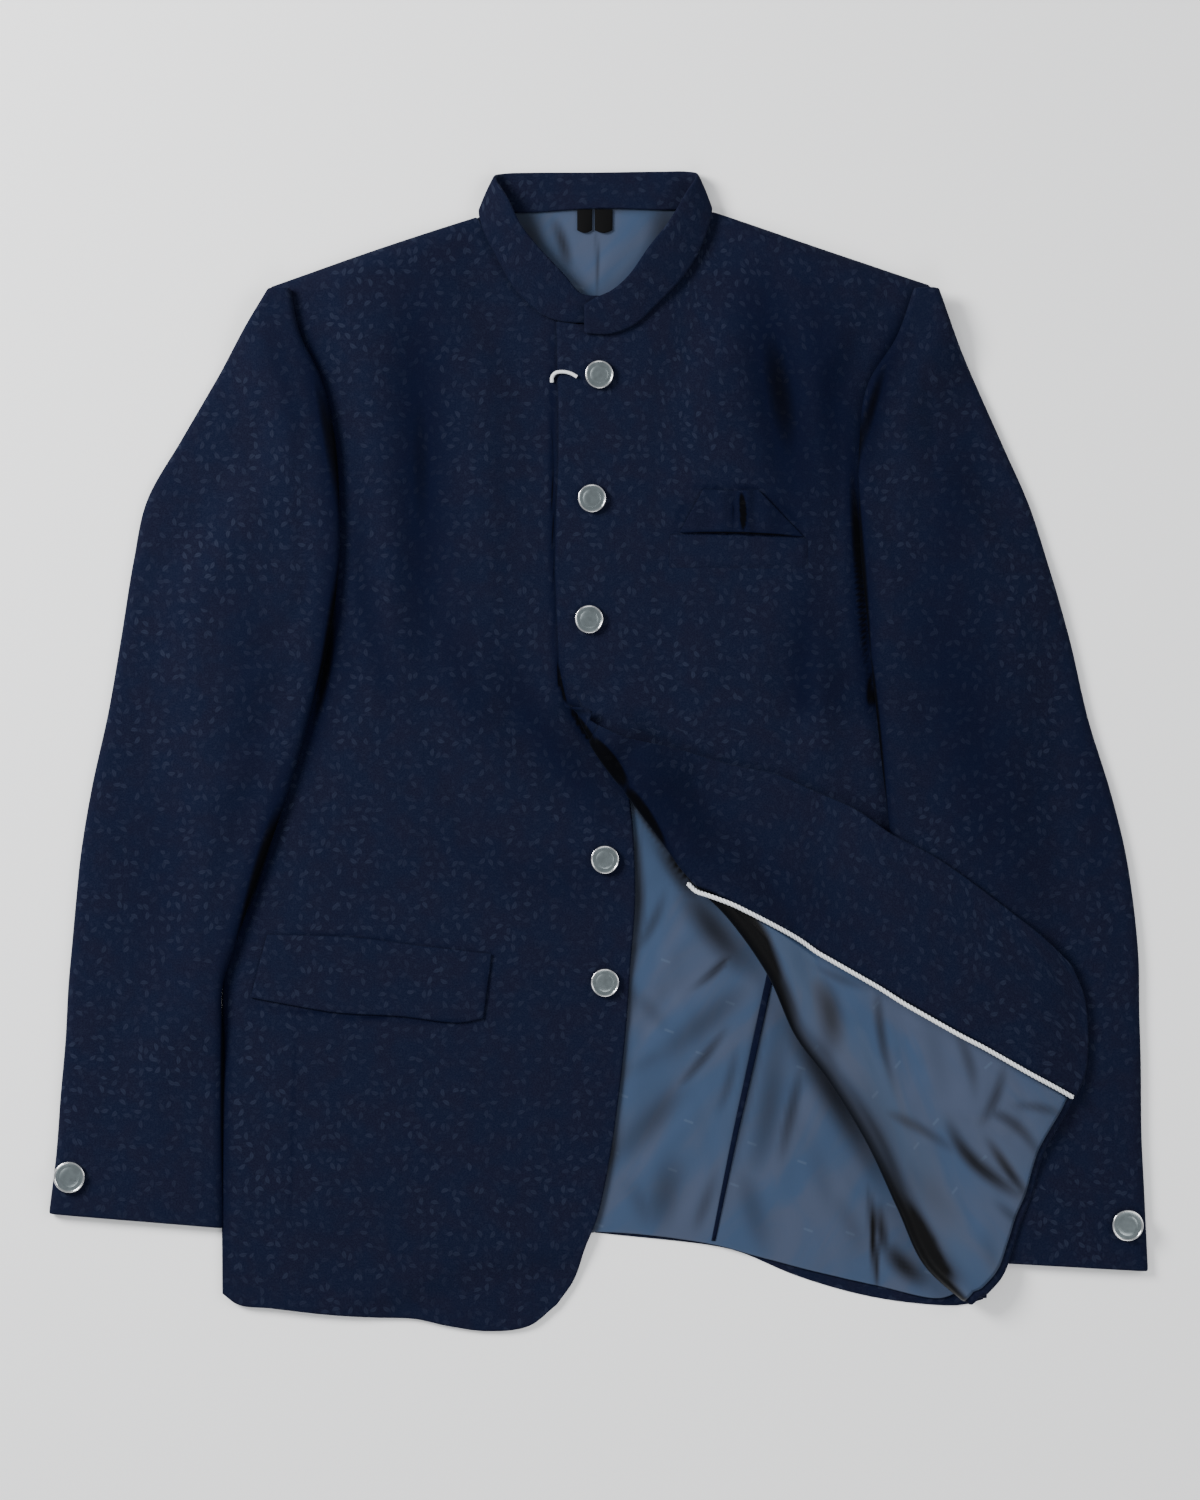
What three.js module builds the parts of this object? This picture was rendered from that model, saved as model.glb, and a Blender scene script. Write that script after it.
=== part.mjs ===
// A bandhgala jacket, size 40, laid flat on its back and buttoned down to the chest. The lower part
// of the wearer's left front is turned back over that side's sleeve, so its facing and lining show.
// Millimetres. +Z is up, +Y runs to the collar, +X to the wearer's left. Plan positions are measured
// from the middle of the laid-out jacket, and the floor is z = 0.

import * as THREE from 'three';

const { clamp, lerp, smoothstep } = THREE.MathUtils;

// Walls, and the room left between pieces
const SHELL_WALL = 2;
const BACK_WALL = 1.5;
const LINING_WALL = 1;
const FACING_WALL = 1.2;
const SLEEVE_WALL = 2;
const COLLAR_WALL = 2.4;
const TRIM_WALL = 1.6;
const SEAM_GAP = 0.3;
const LAY_GAP = 0.6;

// Heights of the layers above the floor, each the upper face of its wall
const BACK_TOP = BACK_WALL;
const LINING_TOP = BACK_TOP + SEAM_GAP + LINING_WALL;
const FRONT_TOP = 6;
const FRONT_EDGE_TOP = BACK_TOP + SEAM_GAP + SHELL_WALL;
const LAP_RISE = SHELL_WALL + LAY_GAP;
const SHOULDER_RISE = 5;
const CHEST_RISE = 2.2;
const EDGE_ROUND = 14;

// Sleeve tube, laid flat
const SLEEVE_HEIGHT = 7.9;
const SLEEVE_HEAD_HEIGHT = 7;
const SLEEVE_FOLD_REACH = 7;
const SLEEVE_HEAD_REACH = 4.5;
const SLEEVE_RAMP_START = 16;
const SLEEVE_RAMP_END = 60;
const SLEEVE_SEAM_GAP = 1.4;

// Turned-back front
const ROLL_RADIUS = 5.2;
const ROLL_START_RADIUS = 2.4;
const ROLL_SETTLE = 45;
const CURL_SHARE = 0.05;
const CURL_STRIP = 8;
const FACING_WIDTH = 95;
const PIPING_SLIT = 0.8;
const COVER_SLOPE = 0.22;
const COVER_FLAT = 14;
const COVER_REACH = 54;
const COVER_STEP = 4;

// Trim
const BUTTON_RADIUS = 10;
const CUFF_BUTTON_RADIUS = 11;
const BUTTON_HEIGHT = 4.2;
const BUTTON_SIDES = 14;
const PIPING_DIAMETER = 3.4;
const LOOP_DIAMETER = 3;
const CORD_HALF_SIDES = 4;

// Finishes
const FINISH = {
  wool: { color: 0x1b2540, roughness: 0.85, metalness: 0 },
  satin: { color: 0x4f6486, roughness: 0.42, metalness: 0 },
  cord: { color: 0xd9dbdd, roughness: 0.5, metalness: 0 },
  metal: { color: 0xb9bcc0, roughness: 0.3, metalness: 1 },
  label: { color: 0x0b0b0d, roughness: 0.6, metalness: 0 },
};

const jacket = new THREE.Group();

// A table: the first argument names its columns, and each following row gives their values.
const table = (columns, ...rows) =>
  rows.map((row) => Object.fromEntries(columns.map((name, k) => [name, row[k]])));

// Plan outlines, each in the order of its heading

// Side of the body from the hem up, then the armhole up to the shoulder tip
const RIGHT_SIDE = table(['x', 'y'],
  [-259.5, -378], [-258, -313], [-257.5, -142], [-251.5, -69], [-251.5, -6], [-255.5, 78],
  [-255.5, 112], [-234.5, 144], [-212, 180], [-196, 212], [-200, 245], [-213, 280],
  [-222, 305], [-227.5, 322.5]);
const LEFT_SIDE = table(['x', 'y'],
  [270, -380], [271, -278], [270, -142], [264, -69], [264, -6], [269.5, 78],
  [269.5, 112], [248.5, 144], [220, 178], [194, 212], [198, 245], [213, 280], [225, 305], [231, 323.5]);

// Shoulder seams from the tip to the neck, then the fronts' neck edges
const RIGHT_SHOULDER = table(['x', 'y'], [-227.5, 322.5], [-155, 348], [-84, 371.5]);
const LEFT_SHOULDER = table(['x', 'y'], [79, 375.5], [152, 350], [231, 323.5]);
const RIGHT_NECK = table(['x', 'y'],
  [-84, 371.5], [-71, 347], [-54, 321], [-34, 303], [-18, 295], [9.5, 292]);
const LEFT_NECK = table(['x', 'y'],
  [-29.5, 295], [-6, 291.5], [11.5, 293], [27, 300], [42, 314], [55, 330], [67, 350], [79, 375.5]);

// Hem and front edge of the right front; the cutaway corner is shared between them
const RIGHT_HEM = table(['x', 'y'],
  [-259.5, -378], [-248.5, -385.5], [-225, -388], [-186, -392.5], [-154.5, -394.5], [-127, -395.5],
  [-103.5, -400.5], [-76.5, -404], [-48.5, -400.5], [-29, -385.5]);
const RIGHT_EDGE = table(['x', 'y'],
  [-29, -385.5], [-17, -368], [-9, -345], [-1, -325], [8.5, -279.5], [18, -205.5], [22.5, -145.5],
  [25.5, -104], [24, -55], [22, -34], [20.5, 4], [19, 105], [16.5, 210], [9.5, 292]);

// Front edge of the left front, from where it starts to turn back up to the neck
const LEFT_EDGE = table(['x', 'y'],
  [-22, 33], [-27, 49.5], [-28, 70.5], [-30.5, 133], [-28, 210], [-29.5, 295]);

// The roll where the left front turns back, from the front edge to the side seam at the hem
const FOLD_LINE = table(['x', 'y'],
  [-22, 33], [0.5, 1.5], [22.5, -30], [41.5, -58.5], [64, -90], [91.5, -118.5], [117.5, -156],
  [136.5, -197.5], [161.5, -232], [186.5, -273], [209, -318], [230, -356], [262, -381]);

// The free front edge where it lies turned back, and the hem from the side seam to its rounded corner
const TURNED_EDGE = table(['x', 'y'],
  [-22, 33], [10, 12.5], [54, 1.5], [95, -10], [123.5, -16], [149, -27], [180, -41], [202.5, -57],
  [234.5, -74], [288, -113], [308.5, -129.5], [328.5, -149]);
const TURNED_HEM = table(['x', 'y'],
  [274, -377], [286, -359], [294, -333], [301, -311.5], [310, -279.5], [327, -248], [338.5, -222],
  [338, -174], [328.5, -149]);

// Back: the hem from side to side, the neck, and the hem of its lining
const BACK_HEM = table(['x', 'y'],
  [-256, -372], [-225, -380], [-180, -378], [-100, -349], [-3, -335.5], [79, -344.5], [98.5, -349],
  [136.5, -365], [180, -378], [218.5, -384.5], [253.5, -386], [268, -382]);
const BACK_NECK = table(['x', 'y'],
  [-84, 371.5], [-58, 373], [-13, 378], [12, 378], [52, 376.5], [79, 375.5]);
const LINING_HEM = table(['x', 'y'],
  [-248, -355], [-180, -362], [-100, -345], [-3, -335], [79, -343.5], [111, -352], [149, -362],
  [192.5, -372], [237.5, -381], [252, -376]);
const LINING_NECK = table(['x', 'y'],
  [-205, 312], [-84, 356], [-60, 368], [-13, 372.5], [12, 372.5], [54, 371], [79, 360], [208, 314]);
const LINING_INSET = 20;

// Strip of self cloth along the back's vent, and the size label: half its width at each height
const VENT_STRIP = table(['x', 'y', 'half'],
  [118.5, -160, 3.4], [107, -214, 3.2], [95, -268, 2.8], [80, -341, 2.2]);
const LABEL = { x: -1.5, top: 369, bottom: 355.5, sag: 3, half: 11.5 };

// Pocket flap, chest welt and the tongue of cloth above it, by their lower and upper edges
const FLAP_BOTTOM = table(['x', 'y'],
  [-242, -171.5], [-215, -176.5], [-181.5, -182], [-138.5, -184.5], [-97, -189], [-80, -186]);
const FLAP_TOP = table(['x', 'y'], [-230.5, -127.5], [-169.5, -129.5], [-127, -135], [-74, -141]);
const WELT_BOTTOM = table(['x', 'y'], [49, 127], [98, 126], [147, 124.5]);
const WELT_TOP = table(['x', 'y'], [50, 150.5], [98, 150], [147.5, 147.5]);
const TONGUE_BOTTOM = table(['x', 'y'], [56, 151.6], [98, 151], [143, 148.8]);
const TONGUE_TOP = table(['x', 'y'], [73, 182], [92, 181], [111, 181.5]);
const TONGUE_PLEATS = table(['x', 'spread', 'height'],
  [68, 8, 0.8], [86, 6, 1.4], [103, 4, 2.2], [117, 7, 1.4]);

// Sleeves laid flat, a row for each height: the fold beside the body and the outer fold
const RIGHT_SLEEVE = table(['y', 'inner', 'outer'],
  [319, -215, -230], [290, -207, -248], [260, -193, -265], [217, -183, -290], [175, -180, -314],
  [133, -180, -323.5], [77.5, -187, -332.5], [28, -199.5, -341], [-27, -215, -353], [-72.5, -230.5, -360.5],
  [-107.5, -243, -364], [-135, -252.5, -366.5], [-163, -261, -369], [-201.5, -261.5, -371],
  [-243.5, -261.5, -374.5], [-285, -262, -377.5], [-327, -262.5, -382.5]);
const LEFT_SLEEVE = table(['y', 'inner', 'outer'],
  [319, 219, 235], [287, 206.5, 248.5], [255, 187, 262.5], [210, 181, 282.5], [171.5, 181, 299.5],
  [133, 182.5, 312], [77.5, 188, 328], [21.5, 193.5, 341], [-27, 199, 356], [-69, 205.5, 366.5],
  [-107.5, 222, 372.5], [-145.5, 244, 376], [-180.5, 264, 376.5], [-215.5, 274.5, 377.5],
  [-264, 275, 378], [-306, 275, 380], [-359, 275, 382.5]);
const RIGHT_CUFF_SLANT = -10;
const LEFT_CUFF_SLANT = 6;

// Largest folds, each a straight soft ridge (or trough, with a negative height) from one end to the other
const FOLD_COLUMNS = ['x0', 'y0', 'x1', 'y1', 'spread', 'height'];
const RIGHT_FOLDS = table(FOLD_COLUMNS,
  [-128, 315, -118, 75, 17, -3], [-164, 200, -130, 45, 14, 2], [-88, 290, -84, 95, 20, 1.6],
  [-72, 64, -10, -40, 15, -1.8], [-104, 60, -62, -30, 16, 1.8], [-150, -10, -122, -75, 15, 1.4]);
const LEFT_FOLDS = table(FOLD_COLUMNS,
  [112, 325, 140, 165, 17, -3], [70, 310, 86, 196, 20, 1.4], [160, 310, 166, 200, 14, 1.6],
  [137, 90, 133, 0, 14, -2], [158, 60, 152, -10, 12, 1.6]);
const SLEEVE_FOLDS = table(FOLD_COLUMNS,
  [-250, 270, -262, 60, 22, 1.4], [-212, 80, -262, -120, 15, -1.6], [-318, 60, -330, -120, 18, -1.2],
  [-300, -150, -310, -300, 22, 1.2], [243, 250, 262, 60, 20, 1.4], [330, 0, 348, -90, 16, -1.2],
  [225, 60, 232, -60, 15, -1.4]);

// Front buttons, top to bottom: the first three fasten the left front, the rest sit on the right front
const FRONT_BUTTONS = table(['x', 'y', 'on'],
  [0.5, 261.5, 'left'], [-4.5, 175.5, 'left'], [-6.5, 91.5, 'left'],
  [5, 7, 'right'], [4.5, -75.5, 'right'], [4.5, -161, 'right']);
const HIDDEN_BUTTON = FRONT_BUTTONS[3];
const HIDDEN_BUTTON_LIFT = 7;
const HIDDEN_BUTTON_SPREAD = 27;
const CUFF_BUTTONS = table(['x', 'y'], [-367.5, -296], [367.5, -329.5]);

// A smooth curve through a table's points, asked for by its share of the length
function curve(rows) {
  const points = rows.map((row) => new THREE.Vector3(row.x, row.y, row.z ?? 0));
  const line = new THREE.CatmullRomCurve3(points, false, 'centripetal');
  return (share) => line.getPointAt(clamp(share, 0, 1));
}

// Two curves end to end, the first taking the given share
const joined = (first, second, part) => (share) =>
  share <= part ? first(share / part) : second((share - part) / (1 - part));

// Reads the column called want of a table, smoothly, where the column called from has the given value
function read(rows, from, value, want) {
  const rising = rows[rows.length - 1][from] > rows[0][from];
  const order = rising ? rows : [...rows].reverse();
  const at = clamp(value, order[0][from], order[order.length - 1][from]);
  let k = 0;
  while (k < order.length - 2 && at > order[k + 1][from]) k += 1;
  const slope = (a, b) => (b[want] - a[want]) / (b[from] - a[from]);
  const here = slope(order[k], order[k + 1]);
  const before = k > 0 ? (slope(order[k - 1], order[k]) + here) / 2 : here;
  const after = k < order.length - 2 ? (slope(order[k + 1], order[k + 2]) + here) / 2 : here;
  const span = order[k + 1][from] - order[k][from];
  const t = (at - order[k][from]) / span;
  return (2 * t ** 3 - 3 * t ** 2 + 1) * order[k][want] + (t ** 3 - 2 * t ** 2 + t) * span * before
    + (3 * t ** 2 - 2 * t ** 3) * order[k + 1][want] + (t ** 3 - t ** 2) * span * after;
}

// Soft ridges and troughs at a plan point
function folds(rows, x, y) {
  let total = 0;
  for (const row of rows) {
    const dx = row.x1 - row.x0;
    const dy = row.y1 - row.y0;
    const share = ((x - row.x0) * dx + (y - row.y0) * dy) / (dx * dx + dy * dy);
    const near = clamp(share, 0, 1);
    const away = Math.hypot(x - row.x0 - near * dx, y - row.y0 - near * dy);
    total += row.height * Math.exp(-((away / row.spread) ** 2)) * Math.sin(Math.PI * (0.12 + 0.76 * near));
  }
  return total;
}

// Height share of a rounded edge, from 0 on the edge to 1 where the round ends
const rounding = (away, reach) => Math.sqrt(1 - (1 - clamp(away / reach, 0, 1)) ** 2);

const sideAt = (side, y) => read(side.slice(0, 7), 'y', y, 'x');
const armholeAt = (side, y) => read(side.slice(6), 'y', y, 'x');
const bodySide = (side, y) => (y > side[6].y ? armholeAt(side, y) : sideAt(side, y));

// Upper face of the body at a plan point, for the wearer's right (-1) or left (+1) front
function frontTop(hand, x, y) {
  const side = hand < 0 ? RIGHT_SIDE : LEFT_SIDE;
  const sleeve = hand < 0 ? RIGHT_SLEEVE : LEFT_SLEEVE;
  const shoulder = hand < 0 ? RIGHT_SHOULDER : LEFT_SHOULDER;
  const seamY = read(shoulder, 'x', x, 'y');
  const beyondNeck = hand < 0 ? x > shoulder[2].x : x < shoulder[0].x;
  const toShoulder = beyondNeck ? EDGE_ROUND : seamY - y;
  const toSide = (bodySide(side, y) - x) * hand;
  const shoulderRise = SHOULDER_RISE * smoothstep(y, 195, 300) * smoothstep(Math.abs(x), 50, 165);
  const fromSleeve = (read(sleeve, 'y', y, 'inner') - x) * hand;
  const lapLine = hand < 0 ? lerp(-46, 18, smoothstep(-y, -20, 40)) : 34;
  const fromLap = (x - lapLine) * hand;
  const underTurn = hand > 0 ? smoothstep(read(TURNED_EDGE, 'x', x, 'y') - y, -22, 8) : 0;
  const fromNeck = smoothstep(Math.hypot(x, y - 345), 84, 118);
  const open = smoothstep(fromSleeve, 14, 42) * smoothstep(fromLap, 4, 34) * (1 - underTurn) * fromNeck;
  const chest = CHEST_RISE * smoothstep(y, -60, 60) + 0.6;
  const relief = open * (chest + folds(hand < 0 ? RIGHT_FOLDS : LEFT_FOLDS, x, y));
  const lap = hand > 0 ? LAP_RISE * (1 - smoothstep(x, 30, 64)) : 0;
  const button = hand > 0 ? hiddenButtonLift(x, y) : 0;
  const inside = FRONT_TOP + shoulderRise + relief + lap + button;
  return lerp(FRONT_EDGE_TOP, inside, rounding(Math.min(toShoulder, toSide), EDGE_ROUND));
}

// How far the left front rises over the button below it
function hiddenButtonLift(x, y) {
  const away = Math.hypot(x - HIDDEN_BUTTON.x, y - HIDDEN_BUTTON.y);
  return HIDDEN_BUTTON_LIFT * Math.exp(-((away / HIDDEN_BUTTON_SPREAD) ** 4));
}

// How far the right front hangs down to the floor where it passes the back's hem
const hemDrop = (x, y) => 2.6 * smoothstep(read(BACK_HEM, 'x', x, 'y') - y, 5, 30);

// Underside of a sleeve at a plan point: on the body beside its armhole, on the floor further out
function sleeveBase(hand, x, y) {
  const side = hand < 0 ? RIGHT_SIDE : LEFT_SIDE;
  const onBody = hand < 0 ? smoothstep(y, -245, -168) : smoothstep(y, -290, -222);
  const padded = SHOULDER_RISE * smoothstep(y, 195, 300);
  const outside = (x - bodySide(side, y)) * hand;
  const ramp = 1 - smoothstep(outside, SLEEVE_RAMP_START, SLEEVE_RAMP_END);
  return onBody * (FRONT_TOP + LAY_GAP + padded) * ramp;
}

const sleeveHeight = (y) => lerp(SLEEVE_HEIGHT, SLEEVE_HEAD_HEIGHT, smoothstep(y, 270, 319));
const sleeveReach = (y) => lerp(SLEEVE_FOLD_REACH, SLEEVE_HEAD_REACH, smoothstep(y, 250, 319));

// Upper face of a sleeve at a plan point
function sleeveTop(hand, x, y) {
  const sleeve = hand < 0 ? RIGHT_SLEEVE : LEFT_SLEEVE;
  const inner = (x - read(sleeve, 'y', y, 'inner')) * hand;
  const outer = (read(sleeve, 'y', y, 'outer') - x) * hand;
  const away = Math.min(inner, outer);
  if (away < 0) return 0;
  const height = sleeveHeight(y);
  const relief = folds(SLEEVE_FOLDS, x, y) * smoothstep(away, 0, 30);
  return sleeveBase(hand, x, y) + height / 2 * (1 + rounding(away, sleeveReach(y))) + relief;
}

// Height of what the turned-back front lies on, spanned as taut cloth spans a step
function coverTop(x, y) {
  let top = 0;
  for (const ky of [-COVER_FLAT, 0, COVER_FLAT]) {
    for (let kx = -COVER_REACH; kx <= COVER_REACH; kx += COVER_STEP) {
      const body = x + kx < bodySide(LEFT_SIDE, y + ky) ? frontTop(1, x + kx, y + ky) : 0;
      const fall = COVER_SLOPE * Math.max(Math.abs(kx) - COVER_FLAT, 0);
      top = Math.max(top, Math.max(body, sleeveTop(1, x + kx, y + ky)) - fall);
    }
  }
  return top;
}

// Closed solid between two grids of points of the same size, over the cells that keep picks
function wall(name, finish, upper, lower, keep = () => true) {
  const rows = upper.length;
  const columns = upper[0].length;
  const inside = (j, i) => j >= 0 && i >= 0 && j < rows - 1 && i < columns - 1 && keep(j, i);
  const points = [];
  const numbers = new Map();
  const number = (grid, level, j, i) => {
    const key = (level * rows + j) * columns + i;
    if (!numbers.has(key)) {
      numbers.set(key, points.length);
      points.push(grid[j][i]);
    }
    return numbers.get(key);
  };
  const top = (j, i) => number(upper, 0, j, i);
  const under = (j, i) => number(lower, 1, j, i);
  const faces = [];
  const quad = (a, b, c, d) => faces.push(a, b, c, a, c, d);
  const side = (j0, i0, j1, i1) => quad(under(j0, i0), under(j1, i1), top(j1, i1), top(j0, i0));
  for (let j = 0; j + 1 < rows; j += 1) {
    for (let i = 0; i + 1 < columns; i += 1) {
      if (!inside(j, i)) continue;
      quad(top(j, i), top(j, i + 1), top(j + 1, i + 1), top(j + 1, i));
      quad(under(j, i), under(j + 1, i), under(j + 1, i + 1), under(j, i + 1));
      if (!inside(j - 1, i)) side(j, i, j, i + 1);
      if (!inside(j + 1, i)) side(j + 1, i + 1, j + 1, i);
      if (!inside(j, i - 1)) side(j + 1, i, j, i);
      if (!inside(j, i + 1)) side(j, i + 1, j + 1, i + 1);
    }
  }
  addSolid(name, finish, points, faces);
}

// Adds a mesh, with its faces turned outwards whichever way its grid ran
function addSolid(name, finish, points, faces) {
  let volume = 0;
  for (let k = 0; k < faces.length; k += 3) {
    const [a, b, c] = [points[faces[k]], points[faces[k + 1]], points[faces[k + 2]]];
    volume += a.dot(b.clone().cross(c));
  }
  const index = [...faces];
  if (volume < 0) {
    for (let k = 0; k < index.length; k += 3) [index[k + 1], index[k + 2]] = [index[k + 2], index[k + 1]];
  }
  const geometry = new THREE.BufferGeometry().setFromPoints(points);
  geometry.setIndex(index);
  addMesh(name, finish, geometry);
}

function addMesh(name, finish, geometry) {
  const mesh = new THREE.Mesh(geometry, new THREE.MeshStandardMaterial(FINISH[finish]));
  mesh.name = name;
  jacket.add(mesh);
  return mesh;
}

// Plan grid inside four curves: bottom and top run left to right, left and right run upwards
function plan(bottom, top, left, right, columns, rows, across = (i) => i / columns) {
  const grid = [];
  for (let j = 0; j <= rows; j += 1) {
    const v = j / rows;
    const line = [];
    for (let i = 0; i <= columns; i += 1) {
      const u = across(i, v);
      const point = new THREE.Vector3()
        .addScaledVector(bottom(u), 1 - v).addScaledVector(top(u), v)
        .addScaledVector(left(v), 1 - u).addScaledVector(right(v), u)
        .addScaledVector(bottom(0), -(1 - u) * (1 - v)).addScaledVector(bottom(1), -u * (1 - v))
        .addScaledVector(top(0), -(1 - u) * v).addScaledVector(top(1), -u * v);
      line.push(point);
    }
    grid.push(line);
  }
  return grid;
}

// The grid at the height that a function of the plan gives
const raise = (grid, height) =>
  grid.map((line) => line.map((point) => new THREE.Vector3(point.x, point.y, height(point.x, point.y))));

// Grid normals from neighbouring points
function normals(grid) {
  const last = grid.length - 1;
  const end = grid[0].length - 1;
  return grid.map((line, j) => line.map((_, i) => {
    const along = grid[Math.min(j + 1, last)][i].clone().sub(grid[Math.max(j - 1, 0)][i]);
    const across = grid[j][Math.min(i + 1, end)].clone().sub(grid[j][Math.max(i - 1, 0)]);
    return across.cross(along).normalize();
  }));
}

// The grid moved along its normals
function moved(grid, distance) {
  const away = normals(grid);
  return grid.map((line, j) => line.map((point, i) => point.clone().addScaledVector(away[j][i], distance)));
}

// A curve's rows with other end points
const between = (start, rows, end) => [start, ...rows.slice(1, -1), end];

// Two halves of the back, with their centre seam
function back() {
  const [hemSplit, neckSplit] = [4, 3];
  const shoulderShare = 5 / 8;
  const seam = (hand) => curve([BACK_HEM[hemSplit], { x: 0, y: 100 }, { x: 0, y: BACK_NECK[2].y - 0.5 }]
    .map((row) => ({ x: row.x + hand * SEAM_GAP / 2, y: row.y })));
  for (const hand of [-1, 1]) {
    const inner = seam(hand);
    const shoulder = hand < 0 ? RIGHT_SHOULDER : LEFT_SHOULDER;
    const hem = hand < 0 ? BACK_HEM.slice(0, hemSplit) : BACK_HEM.slice(hemSplit + 1);
    const neck = hand < 0 ? BACK_NECK.slice(0, neckSplit) : BACK_NECK.slice(neckSplit);
    const side = (hand < 0 ? RIGHT_SIDE : LEFT_SIDE)
      .map((row) => ({ x: row.x - hand * SHELL_WALL, y: row.y }));
    const outer = hand < 0
      ? curve(between(hem[0], side, shoulder[0]))
      : curve(between(hem[hem.length - 1], side, shoulder[shoulder.length - 1]));
    const grid = hand < 0
      ? plan(curve([...hem, inner(0)]),
        joined(curve(shoulder), curve([...neck, inner(1)]), shoulderShare), outer, inner, 8, 12)
      : plan(curve([inner(0), ...hem]),
        joined(curve([inner(1), ...neck]), curve(shoulder), 1 - shoulderShare), inner, outer, 8, 12);
    wall(hand < 0 ? 'back_right' : 'back_left', 'wool', raise(grid, () => BACK_TOP), raise(grid, () => 0));
  }
}

// Lining of the back, short of every edge, and the strip of self cloth along its vent
function backLining() {
  const inset = (rows) => rows.map((row) => ({ x: row.x - Math.sign(row.x) * LINING_INSET, y: row.y }));
  const left = between(LINING_HEM[0], inset(RIGHT_SIDE), LINING_NECK[0]);
  const right = between(LINING_HEM.at(-1), inset(LEFT_SIDE), LINING_NECK.at(-1));
  const grid = plan(curve(LINING_HEM), curve(LINING_NECK), curve(left), curve(right), 12, 12);
  flat('back_lining', 'satin', grid, LINING_TOP - LINING_WALL, LINING_WALL);
  const strip = VENT_STRIP.map((row) =>
    [-1, 1].map((hand) => new THREE.Vector3(row.x + hand * row.half, row.y, 0)));
  flat('vent_strip', 'wool', strip, LINING_TOP + SEAM_GAP, LINING_WALL);
}

// A flat piece at one height
const flat = (name, finish, grid, under, thickness) =>
  wall(name, finish, raise(grid, () => under + thickness), raise(grid, () => under));

// A grid between two edges of a piece, each given by its rows
const strap = (bottom, top, columns, rows) => {
  const [low, high] = [curve(bottom), curve(top)];
  return Array.from({ length: rows + 1 }, (_, j) =>
    Array.from({ length: columns + 1 }, (__, i) => low(i / columns).lerp(high(i / columns), j / rows)));
};

// Right front, with the flap of its pocket laid on it
function rightFront() {
  const top = joined(curve(RIGHT_SHOULDER), curve(RIGHT_NECK), 9 / 16);
  const grid = plan(curve(RIGHT_HEM), top, curve(RIGHT_SIDE), curve(RIGHT_EDGE), 16, 20);
  const height = (x, y) => frontTop(-1, x, y) - hemDrop(x, y);
  wall('right_front', 'wool', raise(grid, height), raise(grid, (x, y) => height(x, y) - SHELL_WALL));
  laidOn('pocket_flap', 'wool', strap(FLAP_BOTTOM, FLAP_TOP, 12, 3), height, TRIM_WALL);
}

// A flat piece laid on a panel: the panel's height, moved out
function laidOn(name, finish, grid, height, thickness, extra = () => 0) {
  const base = (x, y) => height(x, y) + LAY_GAP + extra(x, y);
  wall(name, finish, raise(grid, (x, y) => base(x, y) + thickness), raise(grid, base));
}

// The turned-back front in section: a row for each share of the fold line, walked from the free edge inwards
const foldCurve = curve(FOLD_LINE);
const turnedEdge = curve(TURNED_EDGE);
const turnedHem = curve(TURNED_HEM);
const SKIN = SHELL_WALL / 2 + SEAM_GAP + LINING_WALL;
const ROLL_LIFT = 2.6;

// Direction of the fold line at a share, towards the hem
const foldHeading = (share) => foldCurve(share + 0.01).sub(foldCurve(share - 0.01)).normalize();

// A row of the turned-back front. Its cloth comes in along the body, rolls up round an axis beside the
// fold line and runs on over the body. The cloth's rows stay level, so on the roll they run askew.
function turnRow(share) {
  const fold = foldHeading(share);
  const out = new THREE.Vector3(fold.y, -fold.x, 0);
  const radius = lerp(ROLL_START_RADIUS, ROLL_RADIUS, smoothstep(share, 0, 0.16));
  const inset = lerp(CURL_STRIP, radius + SKIN, smoothstep(share, 0, CURL_SHARE));
  const axis = foldCurve(share).addScaledVector(out, -inset);
  const across = Math.max(-out.x, 0.35);
  const alongFold = -fold.x;
  const curl = Math.PI * smoothstep(share, 0, CURL_SHARE);
  const curled = curl * radius / across;
  const lifted = ROLL_LIFT * smoothstep(share, 0.02, 0.12);
  const side = sideAt(LEFT_SIDE, axis.y);
  const low = frontTop(1, Math.min(axis.x, side - EDGE_ROUND), axis.y) + lifted - SHELL_WALL / 2;
  const roll = Math.PI * radius / across;
  const crest = axis.clone().addScaledVector(fold, alongFold * roll);
  const target = turnedEdge(share);
  const flatAtCurl = foldCurve(CURL_SHARE).distanceTo(turnedEdge(CURL_SHARE));
  const fullAtCurl = Math.PI * ROLL_START_RADIUS / across + flatAtCurl;
  const full = share < CURL_SHARE
    ? lerp(CURL_STRIP / across, fullAtCurl, share / CURL_SHARE)
    : roll + crest.distanceTo(target);
  const sideX = Math.max(side, axis.x + 3);
  return { share, fold, out, radius, axis, across, alongFold, curl, curled, low, lifted, roll, crest,
    target, full, sideX };
}

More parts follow.
